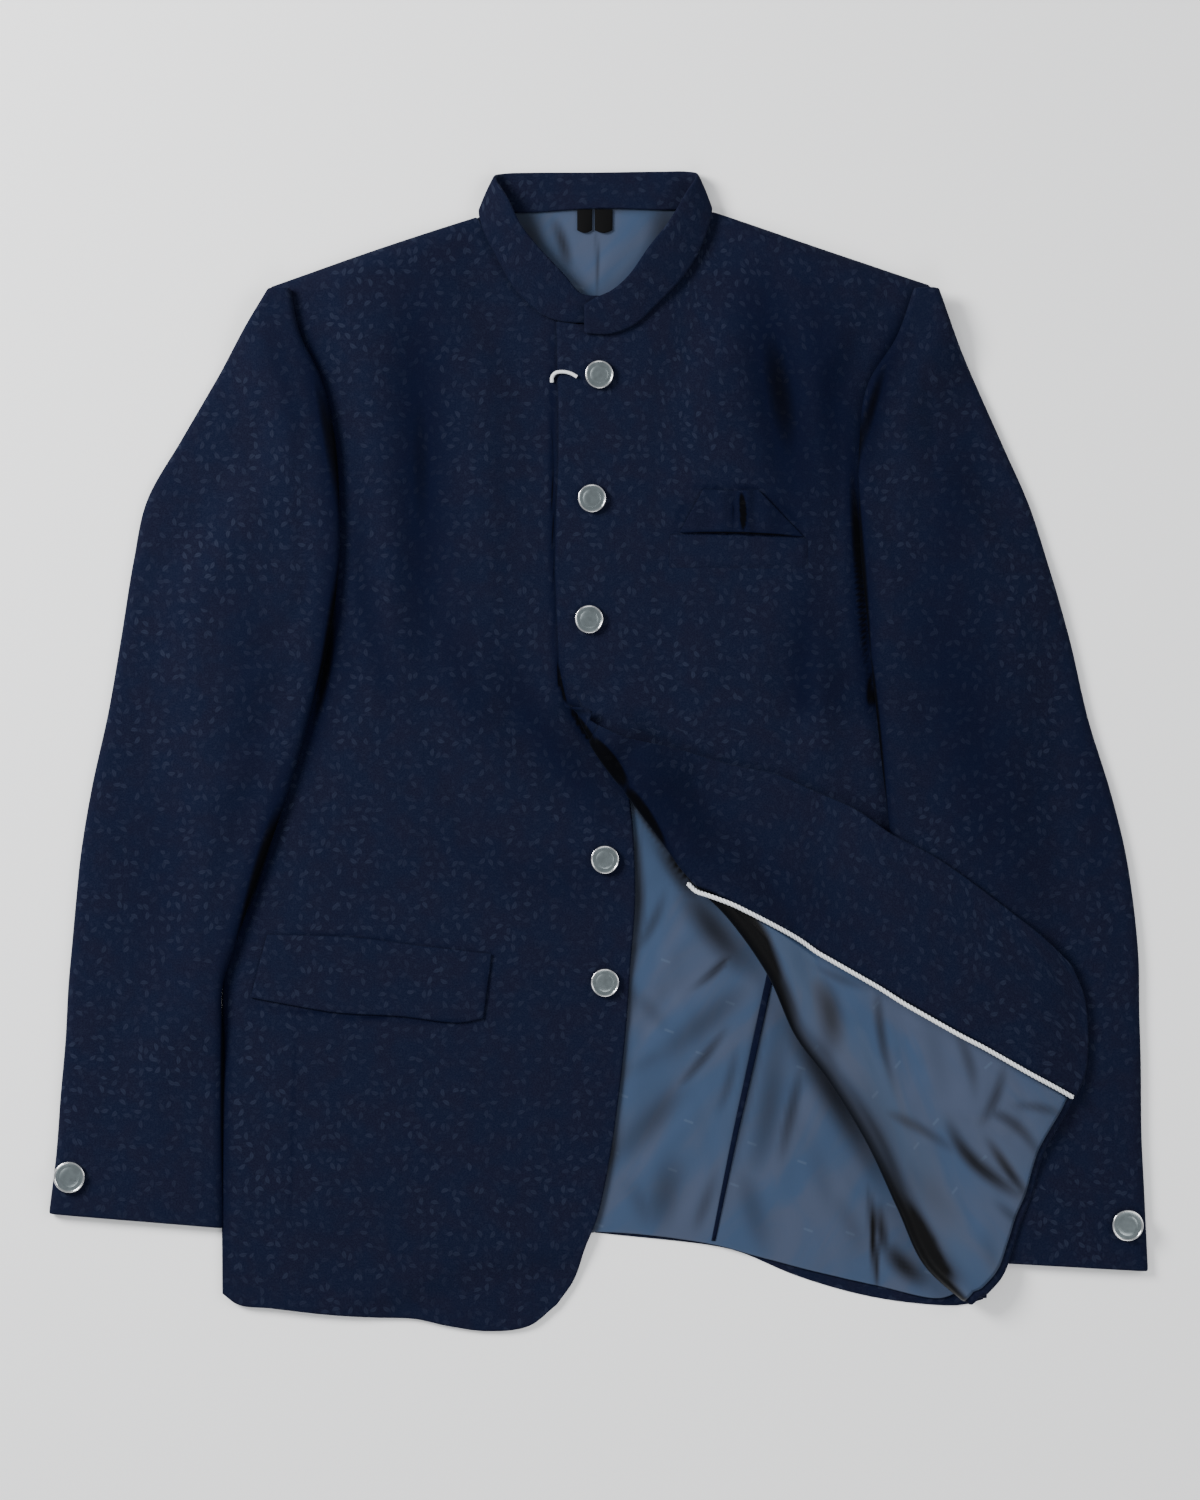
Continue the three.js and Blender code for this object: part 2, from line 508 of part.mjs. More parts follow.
// Middle of the shell on a row, a given distance from its free edge
function turnedPoint(row, fromEdge) {
  const beyond = row.full - fromEdge;
  if (beyond <= 0) {
    const x = Math.min(row.axis.x - beyond, row.sideX);
    const y = row.axis.y;
    const near = 1 - smoothstep(x - row.axis.x, 0, 40);
    const inside = frontTop(1, Math.min(x, sideAt(LEFT_SIDE, y)), y) + row.lifted * near - SHELL_WALL / 2;
    const narrow = row.sideX - row.axis.x < 2 * EDGE_ROUND;
    return new THREE.Vector3(x, y, narrow ? lerp(inside, row.low, near) : inside);
  }
  const angle = Math.min(beyond * row.across / row.radius, row.curl);
  const rest = Math.max(beyond - row.curled, 0);
  const point = row.axis.clone()
    .addScaledVector(row.out, row.radius * Math.sin(angle) + row.across * Math.cos(angle) * rest)
    .addScaledVector(row.fold, row.alongFold * beyond);
  point.z = row.low + row.radius * (1 - Math.cos(angle)) + row.across * Math.sin(angle) * rest;
  if (rest === 0 || row.share < CURL_SHARE) return point;
  const part = clamp(rest / (row.full - row.roll), 0, 1);
  const straightTo = row.crest.clone().lerp(row.target, part);
  const hem = turnedHem(part).sub(turnedHem(0).lerp(turnedHem(1), part));
  straightTo.addScaledVector(hem, smoothstep(row.share, 0.55, 1) ** 2);
  const settled = smoothstep(row.share, CURL_SHARE, CURL_SHARE * 2);
  const spot = point.clone().lerp(straightTo, settled);
  const resting = coverTop(spot.x, spot.y) + LAY_GAP + SHELL_WALL / 2;
  const crestZ = row.low + 2 * row.radius;
  spot.z = resting + Math.max(crestZ - resting, 0) * (1 - smoothstep(rest, 0, ROLL_SETTLE));
  return spot;
}

// Columns of the left front from its side to its free edge: the lower layer, the roll, the lining, the
// slit under the piping and the facing
const LOWER_COLUMNS = 8;
const ROLL_COLUMNS = 5;
const LINING_COLUMNS = 6;
const FACING_COLUMNS = 6;
const SLIT_COLUMN = LOWER_COLUMNS + ROLL_COLUMNS + LINING_COLUMNS;
const FRONT_COLUMNS = SLIT_COLUMN + 1 + FACING_COLUMNS;

// Rows of the turned-back part, as shares of the fold line; the slit row parts the facing from the lining
const TURNED_ROWS = [0, 0.0125, 0.025, 0.0375, 0.05, 0.065, 0.09, 0.13, 0.18, 0.23, 0.27, 0.273, 0.31,
  0.37, 0.43, 0.49, 0.55, 0.61, 0.67, 0.73, 0.79, 0.85, 0.9, 0.95, 0.985, 1];
const CHEST_ROWS = 13;
const FACING_START = 0.065;
const SLIT_START = 0.27;
const LINING_START = 0.273;
const LINING_END = 0.985;
const PIPING_START = 0.31;

// Distances from the free edge at which a row is sampled
function turnedSamples(row) {
  const lower = row.sideX - row.axis.x;
  const curled = Math.min(row.curled, row.full * 0.6);
  const flat = row.full - curled;
  const seam = Math.min(FACING_WIDTH, Math.max(flat - 5, flat * 0.55));
  const samples = [];
  for (let i = 0; i < LOWER_COLUMNS; i += 1) samples.push(row.full + lower * (1 - i / LOWER_COLUMNS));
  for (let i = 0; i < ROLL_COLUMNS; i += 1) samples.push(row.full - curled * (i / ROLL_COLUMNS));
  for (let i = 0; i <= LINING_COLUMNS; i += 1) {
    samples.push(lerp(flat, seam + PIPING_SLIT / 2, i / LINING_COLUMNS));
  }
  for (let i = 0; i <= FACING_COLUMNS; i += 1) {
    samples.push(lerp(seam - PIPING_SLIT / 2, 0, i / FACING_COLUMNS));
  }
  return samples;
}

// Middle surface of the left front: flat down to the chest, then turned back along the fold line
function leftFrontMiddle() {
  const turned = TURNED_ROWS.map((share) => {
    const row = turnRow(share);
    return turnedSamples(row).map((distance) => turnedPoint(row, distance));
  });
  const [sideEnd, edgeEnd] = [turned[0][0], turned[0][FRONT_COLUMNS]];
  const gathered = turned[0].map((point) => (point.x - sideEnd.x) / (edgeEnd.x - sideEnd.x));
  const across = (i, v) => lerp(gathered[i], i / FRONT_COLUMNS, smoothstep(v, 0, 0.55));
  const side = curve([{ x: sideEnd.x, y: sideEnd.y }, ...LEFT_SIDE.slice(5)]);
  const edge = curve([{ x: edgeEnd.x, y: edgeEnd.y }, ...LEFT_EDGE.slice(1)]);
  const top = joined(curve(LEFT_NECK), curve(LEFT_SHOULDER), 12 / FRONT_COLUMNS);
  const chest = plan(
    (u) => new THREE.Vector3(lerp(sideEnd.x, edgeEnd.x, u), sideEnd.y, 0),
    (u) => top(1 - u), side, edge, FRONT_COLUMNS, CHEST_ROWS, across);
  const raised = raise(chest, (x, y) => frontTop(1, x, y) - SHELL_WALL / 2);
  return [...raised.slice(1).reverse(), ...turned];
}

// Left front with the facing and lining on its inner side, made from its own points, moved out
function leftFront() {
  const middle = leftFrontMiddle();
  const up = normals(middle)[middle.length - 5][FRONT_COLUMNS - 2].z > 0 ? 1 : -1;
  const out = (distance) => moved(middle, up * distance);
  wall('left_front', 'wool', out(SHELL_WALL / 2), out(-SHELL_WALL / 2));
  const share = (j) => TURNED_ROWS[j - CHEST_ROWS] ?? -1;
  const shown = (i) => i >= LOWER_COLUMNS - 1;
  const under = SHELL_WALL / 2 + SEAM_GAP;
  wall('left_facing', 'wool', out(under + FACING_WALL), out(under), (j, i) =>
    share(j) >= FACING_START && (i > SLIT_COLUMN || (share(j) < SLIT_START && shown(i))));
  wall('left_front_lining', 'satin', out(under + LINING_WALL), out(under), (j, i) =>
    share(j) >= LINING_START && share(j) < LINING_END && i < SLIT_COLUMN && shown(i));
}

// Round cord along a smooth path of points
function cord(name, finish, points, diameter, steps) {
  const section = new THREE.Shape();
  section.absarc(0, 0, diameter / 2, 0, 2 * Math.PI);
  const path = new THREE.CatmullRomCurve3(points, false, 'centripetal');
  const geometry = new THREE.ExtrudeGeometry(section, {
    extrudePath: path, steps, curveSegments: CORD_HALF_SIDES, bevelEnabled: false });
  addMesh(name, finish, geometry);
}

// Twisted piping laid on the slit between facing and lining
function piping() {
  const middle = leftFrontMiddle();
  const away = normals(middle);
  const first = CHEST_ROWS + TURNED_ROWS.indexOf(PIPING_START);
  const last = CHEST_ROWS + TURNED_ROWS.indexOf(LINING_END);
  const height = SHELL_WALL / 2 + SEAM_GAP + FACING_WALL + LAY_GAP + PIPING_DIAMETER / 2;
  const points = [];
  for (let j = first; j <= last; j += 1) {
    const up = away[j][SLIT_COLUMN].clone().multiplyScalar(Math.sign(away[last][SLIT_COLUMN].z));
    const slit = middle[j][SLIT_COLUMN].clone().lerp(middle[j][SLIT_COLUMN + 1], 0.5);
    points.push(slit.addScaledVector(up, height));
  }
  cord('piping', 'cord', points, PIPING_DIAMETER, 30);
}

// A sleeve: the top sleeve wraps both folds, and the under sleeve closes it below
function sleeve(hand) {
  const rows = hand < 0 ? RIGHT_SLEEVE : LEFT_SLEEVE;
  const slant = hand < 0 ? RIGHT_CUFF_SLANT : LEFT_CUFF_SLANT;
  const word = hand < 0 ? 'right' : 'left';
  const count = 22;
  const turns = [-90, -45, 0, 45];
  const flatColumns = 7;
  const outerFace = [];
  const underFace = [];
  for (let j = 0; j <= count; j += 1) {
    const height = lerp(rows[0].y, rows[rows.length - 1].y, j / count);
    const inner = read(rows, 'y', height, 'inner');
    const outer = read(rows, 'y', height, 'outer');
    const width = Math.abs(outer - inner);
    const reach = sleeveReach(height);
    const tall = sleeveHeight(height);
    const cuff = smoothstep(-height, 150, 327) * slant;
    const place = (across, rise) => {
      const x = inner + hand * across;
      return new THREE.Vector3(x, height + cuff * (0.5 - across / width), sleeveBase(hand, x, height) + rise);
    };
    const edge = (degrees, fromOuter) => {
      const angle = THREE.MathUtils.degToRad(degrees);
      const across = reach * (1 - Math.cos(angle));
      return place(fromOuter ? width - across : across, tall / 2 * (1 + Math.sin(angle)));
    };
    const line = turns.map((angle) => edge(angle, false));
    for (let i = 0; i <= flatColumns; i += 1) {
      const across = lerp(reach, width - reach, i / flatColumns);
      const point = place(across, tall);
      point.z += folds(SLEEVE_FOLDS, point.x, height) * smoothstep(Math.min(across, width - across), 0, 30);
      line.push(point);
    }
    line.push(...[...turns].reverse().map((angle) => edge(angle, true)));
    outerFace.push(line);
    const seam = reach + SLEEVE_SEAM_GAP;
    underFace.push(Array.from({ length: flatColumns + 1 }, (_, i) =>
      place(lerp(seam, width - seam, i / flatColumns), 0)));
  }
  const inwards = normals(outerFace)[2][7].z > 0 ? -1 : 1;
  wall(`${word}_sleeve_top`, 'wool', outerFace, moved(outerFace, inwards * SLEEVE_WALL));
  const lift = new THREE.Vector3(0, 0, SLEEVE_WALL);
  const lifted = underFace.map((line) => line.map((point) => point.clone().add(lift)));
  wall(`${word}_sleeve_under`, 'wool', lifted, underFace);
}

// Stand collar, walked from its under end at the centre front round the back to its upper end
const COLLAR = table(['seamX', 'seamY', 'seamZ', 'edgeX', 'edgeY', 'edgeZ'],
  [3, 299, 8, 4, 316, 10.4], [-13, 297.5, 8, -12, 318, 11.5], [-35, 301, 8.3, -23.5, 330.5, 14],
  [-57, 319.5, 9.2, -41, 349, 17], [-72, 345.5, 10.6, -53.5, 364.5, 18.6], [-80.5, 363, 11.6, -62.5, 383, 18],
  [-82.5, 375, 9, -71.5, 399, 11], [-75, 377.5, 5.2, -66, 402, 3.2], [-57, 374.5, 4.5, -48, 402.8, 2.2],
  [-1, 377.5, 4.5, -1, 403, 2.2], [53, 376.5, 4.5, 44, 403.6, 2.2], [70.5, 378.5, 5.2, 61.5, 403.5, 3.2],
  [78, 376.5, 9, 68, 400.5, 11], [76.5, 364, 11.6, 60, 386, 18], [68.5, 344, 11, 49, 367.5, 18.6],
  [57, 327, 10.8, 34.5, 349, 17.4], [41, 310.5, 11, 21, 330, 16.2], [26, 296.5, 11.1, 9, 319.5, 16],
  [8, 289.5, 11.2, -3, 314, 15.6], [-10, 290, 11.3, -10, 309.5, 15.4]);

function collar() {
  const line = (x, y, z) => new THREE.CatmullRomCurve3(
    COLLAR.map((row) => new THREE.Vector3(row[x], row[y], row[z])), false, 'centripetal');
  const seam = line('seamX', 'seamY', 'seamZ');
  const edge = line('edgeX', 'edgeY', 'edgeZ');
  const [steps, across] = [46, 3];
  const grid = Array.from({ length: steps + 1 }, (_, j) =>
    Array.from({ length: across + 1 }, (__, i) =>
      seam.getPoint(j / steps).lerp(edge.getPoint(j / steps), i / across)));
  wall('collar', 'wool', moved(grid, COLLAR_WALL / 2), moved(grid, -COLLAR_WALL / 2));
}

// Chest pocket: its welt, and the gathered tongue of cloth above it
function chestPocket() {
  const height = (x, y) => frontTop(1, x, y);
  laidOn('chest_welt', 'wool', strap(WELT_BOTTOM, WELT_TOP, 10, 2), height, TRIM_WALL);
  const pleats = (x) => TONGUE_PLEATS.reduce(
    (sum, row) => sum + row.height * Math.exp(-(((x - row.x) / row.spread) ** 2)), 0);
  laidOn('pocket_tongue', 'wool', strap(TONGUE_BOTTOM, TONGUE_TOP, 16, 2), height, LINING_WALL, pleats);
}

// Metal button with a raised rim and a short shank, its underside at the given height
function button(name, x, y, z, radius) {
  const shank = 3;
  const profile = table(['out', 'up'],
    [0, 0], [shank / radius, 0], [shank / radius, 0.3], [0.9, 0.36], [1, 0.6], [0.98, 0.9], [0.9, 1],
    [0.8, 0.84], [0, 0.94]);
  const outline = profile.map((row) => new THREE.Vector2(row.out * radius, row.up * BUTTON_HEIGHT));
  const geometry = new THREE.LatheGeometry(outline, BUTTON_SIDES);
  geometry.rotateX(Math.PI / 2);
  addMesh(name, 'metal', geometry).position.set(x, y, z);
}

// Buttons stand on the highest point under their shank
function buttons() {
  const under = (height, x, y) =>
    Math.max(...[[0, 0], [3, 0], [-3, 0], [0, 3], [0, -3]].map(([dx, dy]) => height(x + dx, y + dy)));
  FRONT_BUTTONS.forEach(({ x, y, on }, k) => {
    const top = under((a, b) => frontTop(on === 'left' ? 1 : -1, a, b), x, y);
    button(`front_button_${k + 1}`, x, y, top + SEAM_GAP, BUTTON_RADIUS);
  });
  CUFF_BUTTONS.forEach(({ x, y }) => {
    const hand = Math.sign(x);
    const top = under((a, b) => sleeveTop(hand, a, b), x, y);
    button(hand < 0 ? 'right_cuff_button' : 'left_cuff_button', x, y, top + SEAM_GAP, CUFF_BUTTON_RADIUS);
  });
}

// Cord loop round the front edge beside the top button, as heights above the cloth that it lies on
function topLoop() {
  const onRight = FRONT_TOP + SEAM_GAP + LOOP_DIAMETER / 2;
  const onLeft = onRight + LAP_RISE;
  const path = table(['x', 'y', 'z'],
    [-33.2, 254, onRight], [-33.2, 260, onRight + 0.9], [-30.5, 265, onLeft + 0.3],
    [-24, 266.5, onLeft + 0.3], [-18.5, 264.5, onLeft + 0.1], [-14.5, 260.5, onLeft + 0.1]);
  cord('top_loop', 'cord', path.map((row) => new THREE.Vector3(row.x, row.y, row.z)), LOOP_DIAMETER, 12);
}

// Bare size label under the back neck, its lower edge sagging to the middle
function label() {
  const edge = (y, sag) => [-1, 0, 1].map((side) =>
    ({ x: LABEL.x + side * LABEL.half, y: y - sag * (1 - Math.abs(side)) }));
  const grid = strap(edge(LABEL.bottom, LABEL.sag), edge(LABEL.top, 0), 4, 2);
  flat('neck_label', 'label', grid, LINING_TOP + SEAM_GAP, LINING_WALL);
}

back();
backLining();
rightFront();
leftFront();
piping();
sleeve(-1);
sleeve(1);
collar();
chestPocket();
buttons();
topLoop();
label();

export default jacket;
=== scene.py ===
import math

import bpy
import numpy as np
from bpy.props import FloatProperty, FloatVectorProperty, PointerProperty
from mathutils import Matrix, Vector


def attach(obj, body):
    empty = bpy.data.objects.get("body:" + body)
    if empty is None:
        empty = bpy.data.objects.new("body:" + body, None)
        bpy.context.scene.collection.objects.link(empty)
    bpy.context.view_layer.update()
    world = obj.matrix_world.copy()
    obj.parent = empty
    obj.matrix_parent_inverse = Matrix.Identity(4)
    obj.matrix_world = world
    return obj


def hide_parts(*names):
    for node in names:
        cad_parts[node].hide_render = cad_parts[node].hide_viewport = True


bl_info = {
    "name": "Bandhgala Jacket",
    "version": (1, 0, 0),
    "blender": (4, 5, 0),
    "location": "View3D > Sidebar > Jacket",
    "description": "Builds a stand-collar jacket laid flat, with one front turned back",
    "category": "Add Mesh",
}

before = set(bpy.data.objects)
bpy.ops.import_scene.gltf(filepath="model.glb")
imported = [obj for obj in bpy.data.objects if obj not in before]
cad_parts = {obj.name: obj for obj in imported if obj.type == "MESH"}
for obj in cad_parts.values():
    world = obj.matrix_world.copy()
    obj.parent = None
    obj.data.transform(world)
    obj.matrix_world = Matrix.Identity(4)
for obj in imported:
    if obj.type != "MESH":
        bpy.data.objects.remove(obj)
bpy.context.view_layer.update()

# Millimetres are turned into metres where a mesh is made
MM = 0.001
BODY = "root"

# Walls, and the room left between pieces
SHELL_WALL = 2.0
BACK_WALL = 1.5
LINING_WALL = 1.0
FACING_WALL = 1.2
SLEEVE_WALL = 2.0
COLLAR_WALL = 2.4
TRIM_WALL = 1.6
WELT_WALL = 0.8
WELT_GAP = 0.2
WELT_SINK = 1.2
SEAM_GAP = 0.3
LAY_GAP = 0.6

# Heights of the layers above the surface
BACK_TOP = BACK_WALL
LINING_TOP = BACK_TOP + SEAM_GAP + LINING_WALL
FRONT_TOP = 6.0
FRONT_EDGE_TOP = BACK_TOP + SEAM_GAP + SHELL_WALL
LAP_RISE = SHELL_WALL + LAY_GAP
SHOULDER_RISE = 5.0
CHEST_RISE = 2.2
EDGE_ROUND = 14.0

# Sleeve tube, laid flat
SLEEVE_HEIGHT = 7.9
SLEEVE_HEAD_HEIGHT = 7.0
SLEEVE_FOLD_REACH = 7.0
SLEEVE_HEAD_REACH = 4.5
SLEEVE_RAMP_START = 16.0
SLEEVE_RAMP_END = 60.0
SLEEVE_SEAM_GAP = 1.4

# Turned-back front
ROLL_RADIUS = 5.2
ROLL_START_RADIUS = 2.4
ROLL_SETTLE = 45.0
ROLL_LIFT = 2.6
CURL_SHARE = 0.05
CURL_STRIP = 8.0
CURL_MOST = 0.6
PIPING_SLIT = 0.8
HEM_SQUARE = 0.8
HEM_CREST = (263.5, -380.0)
HEM_CREST_REACH = 7.0
HEM_TURN = (0.55, 1)
SKIN = SHELL_WALL / 2 + SEAM_GAP + LINING_WALL
ROLL_GROWN = (0, 0.16)
ROLL_LIFTED = (0.02, 0.12)
ROLL_LIFT_REACH = 40
FOLD_AHEAD = 0.01
LEAST_ACROSS = 0.35
SIDE_ROOM = 3
SLIT_TRIED = (0.25, 1, 240)

# What the turned-back front lies on: the grid, and how taut cloth spans a step
COVER_LOW, COVER_HIGH, COVER_STEP = (-60.0, -430.0), (400.0, 80.0), 2.0
COVER_SLOPE = 0.22
COVER_FLAT = 14.0
COVER_REACH = 54.0
COVER_ROUNDS = 6
INSIDE_GRID = 1.001

# Trim
BUTTON_RADIUS = 10.0
CUFF_BUTTON_RADIUS = 11.0
BUTTON_HEIGHT = 4.2
PIPING_DIAMETER = 3.4
LOOP_DIAMETER = 2.6
STRANDS, STRAND_SIDES, CORD_STEP = 3, 8, 0.5
WOUND_CORD, SMOOTH_CORD = (0.235, 0.265), (0.46, 0.04)
PIPING_PITCH, PIPING_STEPS, PIPING_SKIP = 8.4, 120, 3
LOOP_PITCH, LOOP_STEPS = 6.0, 50
BUTTON_SIDES = 56
BUTTON_FOOT = 3

# Finest spacing of the cloth's grids, away from their edges
CLOTH_STEP = 3.0
EDGE_STEPS = (0.0, 0.35, 0.9, 1.8)
CURVE_STEPS = 32
COARSE_STEPS = 16
CREASE_PARTS = 8

# Grids of the panels: about how long each way, and the spacing
BACK_ACROSS, BACK_ALONG = (260, 8), (740, 9)
LINING_ACROSS, LINING_ALONG = (500, 3.2), (730, 3.2)
FRONT_ACROSS, FRONT_ALONG = (285, 3.0), (760, 3.2)
SLEEVE_ALONG, UNDER_SLEEVE_ACROSS = (680, 3.4), (100, 6)
COLLAR_ACROSS = (28, 2.4)
LABEL_ACROSS, LABEL_ALONG = (11, 1.5), (14, 1.5)
FLAP_SIZE, WELT_SIZE, TONGUE_SIZE, TRIM_STEP = (168, 56), (98, 24), (62, 30), 1.6
FOLD_SIDES, SLEEVE_FLATS = 13, 37

# Smooth changes, each from where it starts to where it is complete
PAD_ALONG, PAD_ACROSS = (195, 300), (50, 165)
NECK_Y, NECK_CLEAR = 345, (84, 118)
SLEEVE_CLEAR, SLEEVE_CLEAR_FINE = (14, 42), (2, 14)
RIGHT_LAP, RIGHT_LAP_ALONG, LEFT_LAP = (-46, 18), (-20, 40), 34
LAP_CLEAR, LAP_FADE = (4, 34), (30, 64)
UNDER_TURN = (-22, 8)
CHEST_ALONG, CHEST_LEVEL = (-60, 60), 0.6
HEM_DROP, HEM_DROP_REACH = 2.6, (5, 30)
SLEEVE_HEAD_THIN, SLEEVE_HEAD_TIGHT = (270, 319), (250, 319)
SLEEVE_FOLDS_CLEAR, SLEEVE_FINE_CLEAR = (0, 30), (4, 18)
CUFF_ALONG = (150, 327)
# Some of these set where painted shade lies: beside a sleeve's fold, at the back neck and beside the right
# front's edge
SLEEVE_EDGE_SHADOW, SLEEVE_SHADOW_ALONG = (16, 2), (-260, -200)
LINING_SHOWN, LINING_FOLD_CLEAR, LINING_SHOWN_ALONG = (4, 26), (-34, -6), (60, 90)
LINING_NECK_SPOT, LINING_NECK_NEAR, LINING_NECK_SHADOW = (3, 350), (60, 30), (26, 60)
NECK_SHADOW_ALONG, EDGE_SHADOW_REACH, EDGE_SHADOW_ALONG = (300, 320), (-2, 9), (40, 70)
PLAIN_BEFORE_TURN = (0, 0.05)
SLIT_CLEAR, FACING_CLEAR, LINING_FLAT_END = (1, 7), (-6, 8), 34
FACING_ROLL_END, VALLEY_CLEAR = (0.27, 0.31), (-2, 4)
ROLL_INSIDE = (-0.95, -0.7)
WELT_SEWN_LOW, WELT_SEWN_END = (125, 132), (142, 147)

# Slow uneven waves: size and height on each cloth, and how much they lift it
WAVES = ((0.3, 1.0), (1.4, 0.8), (2.3, 0.9), (2.9, 0.6), (0.9, 0.7))
WAVE_SIZE, WAVE_GROWTH, WAVE_OFFSET, WAVE_BEND, WAVE_DRIFT, WAVE_LEVEL = 0.7, 0.23, 1.7, 1.3, 0.37, 3
FRONT_WAVE, FRONT_LIFT = (46, 0.25), 0.25
SLEEVE_WAVE, SLEEVE_LIFT = (52, 0.3), 0.2
LINING_WAVE, LINING_LIFT, STRIP_LIFT = (34, 0.5), 0.8, 0.5
TURNED_WAVE, FACING_WAVE, FACING_LIFT = (30, 0.5), (60, 0.4), 0.4
LINING_DEEPEST, DARK_SINK = -0.1, 0.7
FOLD_FADE, CREASE_FADE = (0.12, 0.76), (0.06, 0.88)

# How deep painted shade lies on an edge or a piece, on top of the tables below
EDGE_SHADE, NECK_SHADE, NECK_RELIEF, STRIP_SHADE, SLEEVE_EDGE_SHADE, TONGUE_SHADE = (
    0.6, 0.45, 0.6, 0.55, 0.5, 0.25)

# Cloth coordinates are shifted, so that the weave doesn't run on from piece to piece
TRIM_SHIFT, FACING_SHIFT, UNDER_SLEEVE_SHIFT = (13.0, 7.0), (4.0, 3.0), 9

# The wearer's right and left
RIGHT, LEFT = -1, 1
WORDS = {RIGHT: "right", LEFT: "left"}
FAR = 1e9
TINY = 1e-9


def table(columns, *rows):
    """Rows of values under named columns, as one array for each column."""
    return {name: np.array([row[k] for row in rows], float) for k, name in enumerate(columns)}


def rows_of(given, start=None, stop=None):
    """Part of a table's rows."""
    return {name: values[start:stop] for name, values in given.items()}


XY = ("x", "y")

# Side of the body from the hem up, then the armhole up to the shoulder tip
RIGHT_SIDE = table(XY,
    (-261.6, -378), (-262.0, -313), (-262.0, -200), (-260.5, -142), (-251.5, -69), (-251.5, -6),
    (-255.5, 78), (-255.5, 112), (-234.5, 144), (-212, 180), (-196, 212), (-200, 245), (-213, 280),
    (-222, 305), (-227.5, 322.5))
LEFT_SIDE = table(XY,
    (270, -380), (271, -278), (270, -142), (264, -69), (264, -6), (269.5, 78),
    (269.5, 112), (248.5, 144), (220, 178), (194, 212), (198, 245), (213, 280), (225, 305),
    (231, 323.5))
ARMHOLES = {RIGHT: 7, LEFT: 6}

# Shoulder seams from the tip to the neck, then the fronts' neck edges
RIGHT_SHOULDER = table(XY, (-227.5, 322.5), (-155, 348), (-84, 371.5))
LEFT_SHOULDER = table(XY, (79, 375.5), (152, 350), (231, 323.5))
RIGHT_NECK = table(XY, (-84, 371.5), (-71, 349), (-54, 324), (-34, 307), (-18, 301), (9.5, 299))
LEFT_NECK = table(XY,
    (-29.5, 299), (-6, 296), (11.5, 297), (27, 304), (42, 317), (55, 332), (67, 352), (79, 375.5))

# Hem and front edge of the right front
RIGHT_HEM = table(XY,
    (-259.5, -378), (-248.5, -385.5), (-225, -388), (-186, -392.5), (-154.5, -394.5),
    (-127, -395.5), (-103.5, -400.5), (-76.5, -404), (-48.5, -400.5), (-29, -385.5))
RIGHT_EDGE = table(XY,
    (-29, -385.5), (-17, -368), (-9, -345), (-1, -325), (8.5, -279.5), (18, -205.5), (22.5, -145.5),
    (25.5, -104), (24, -55), (22, -34), (20.5, 4), (19, 105), (16.5, 210), (9.5, 299))

# Front edge of the left front, from where it starts to turn back up to the neck
LEFT_EDGE = table(XY, (-22, 33), (-27, 49.5), (-28, 70.5), (-30.5, 133), (-28, 210), (-29.5, 299))

# The roll where the left front turns back, its free edge and its hem
FOLD_LINE = table(XY,
    (-22, 33), (-2.4, -0.8), (20.5, -31.5), (41, -59), (64, -90), (91.5, -118.5), (117.5, -156),
    (136.5, -197.5), (161.5, -232), (186.5, -273), (207.5, -318), (226, -357), (257.5, -386))
TURNED_EDGE = table(XY,
    (-22, 33), (10, 12.5), (54, 1.5), (95, -10), (123.5, -16), (149, -27), (180, -41), (202.5, -57),
    (234.5, -74), (288, -113), (308.5, -129.5), (328.5, -149))
TURNED_HEM = table(XY,
    (264.6, -381), (272, -374.6), (281.8, -363.6), (289, -345), (295, -326), (301, -311.5),
    (310, -279.5), (327, -248), (338.5, -222), (338, -174), (328.5, -149))

# The piping runs straight from the roll to the hem
PIPING_LINE = table(XY, (64, -90), (334, -243.5))

# Back: its hem and neck, and the hem and neck of its lining
BACK_HEM = table(XY,
    (-256, -372), (-225, -380), (-180, -378), (-100, -349), (-3, -335.5), (79, -344.5), (98.5, -349),
    (136.5, -365), (180, -378), (218.5, -384.5), (253.5, -386), (268, -382))
BACK_NECK = table(XY,
    (-84, 371.5), (-62, 381), (-13, 385), (12, 385), (56, 382), (79, 375.5))
LINING_HEM = table(XY,
    (-248, -355), (-180, -362), (-100, -345), (-3, -335), (79, -343.5), (111, -352), (149, -362),
    (192.5, -372), (237.5, -381), (252, -376))
LINING_NECK = table(XY,
    (-205, 312), (-86, 352), (-62, 376), (-13, 381), (12, 381), (54, 379), (79, 356), (208, 314))
LINING_INSET = 20.0
VENT_STRIP = table(("x", "y", "half"),
    (121.5, -147, 2.6), (107, -214, 2.3), (95, -268, 1.9), (80, -341, 1.4))
STRIP_COLUMNS = (-1, -0.85, -0.5, 0, 0.5, 0.85, 1)

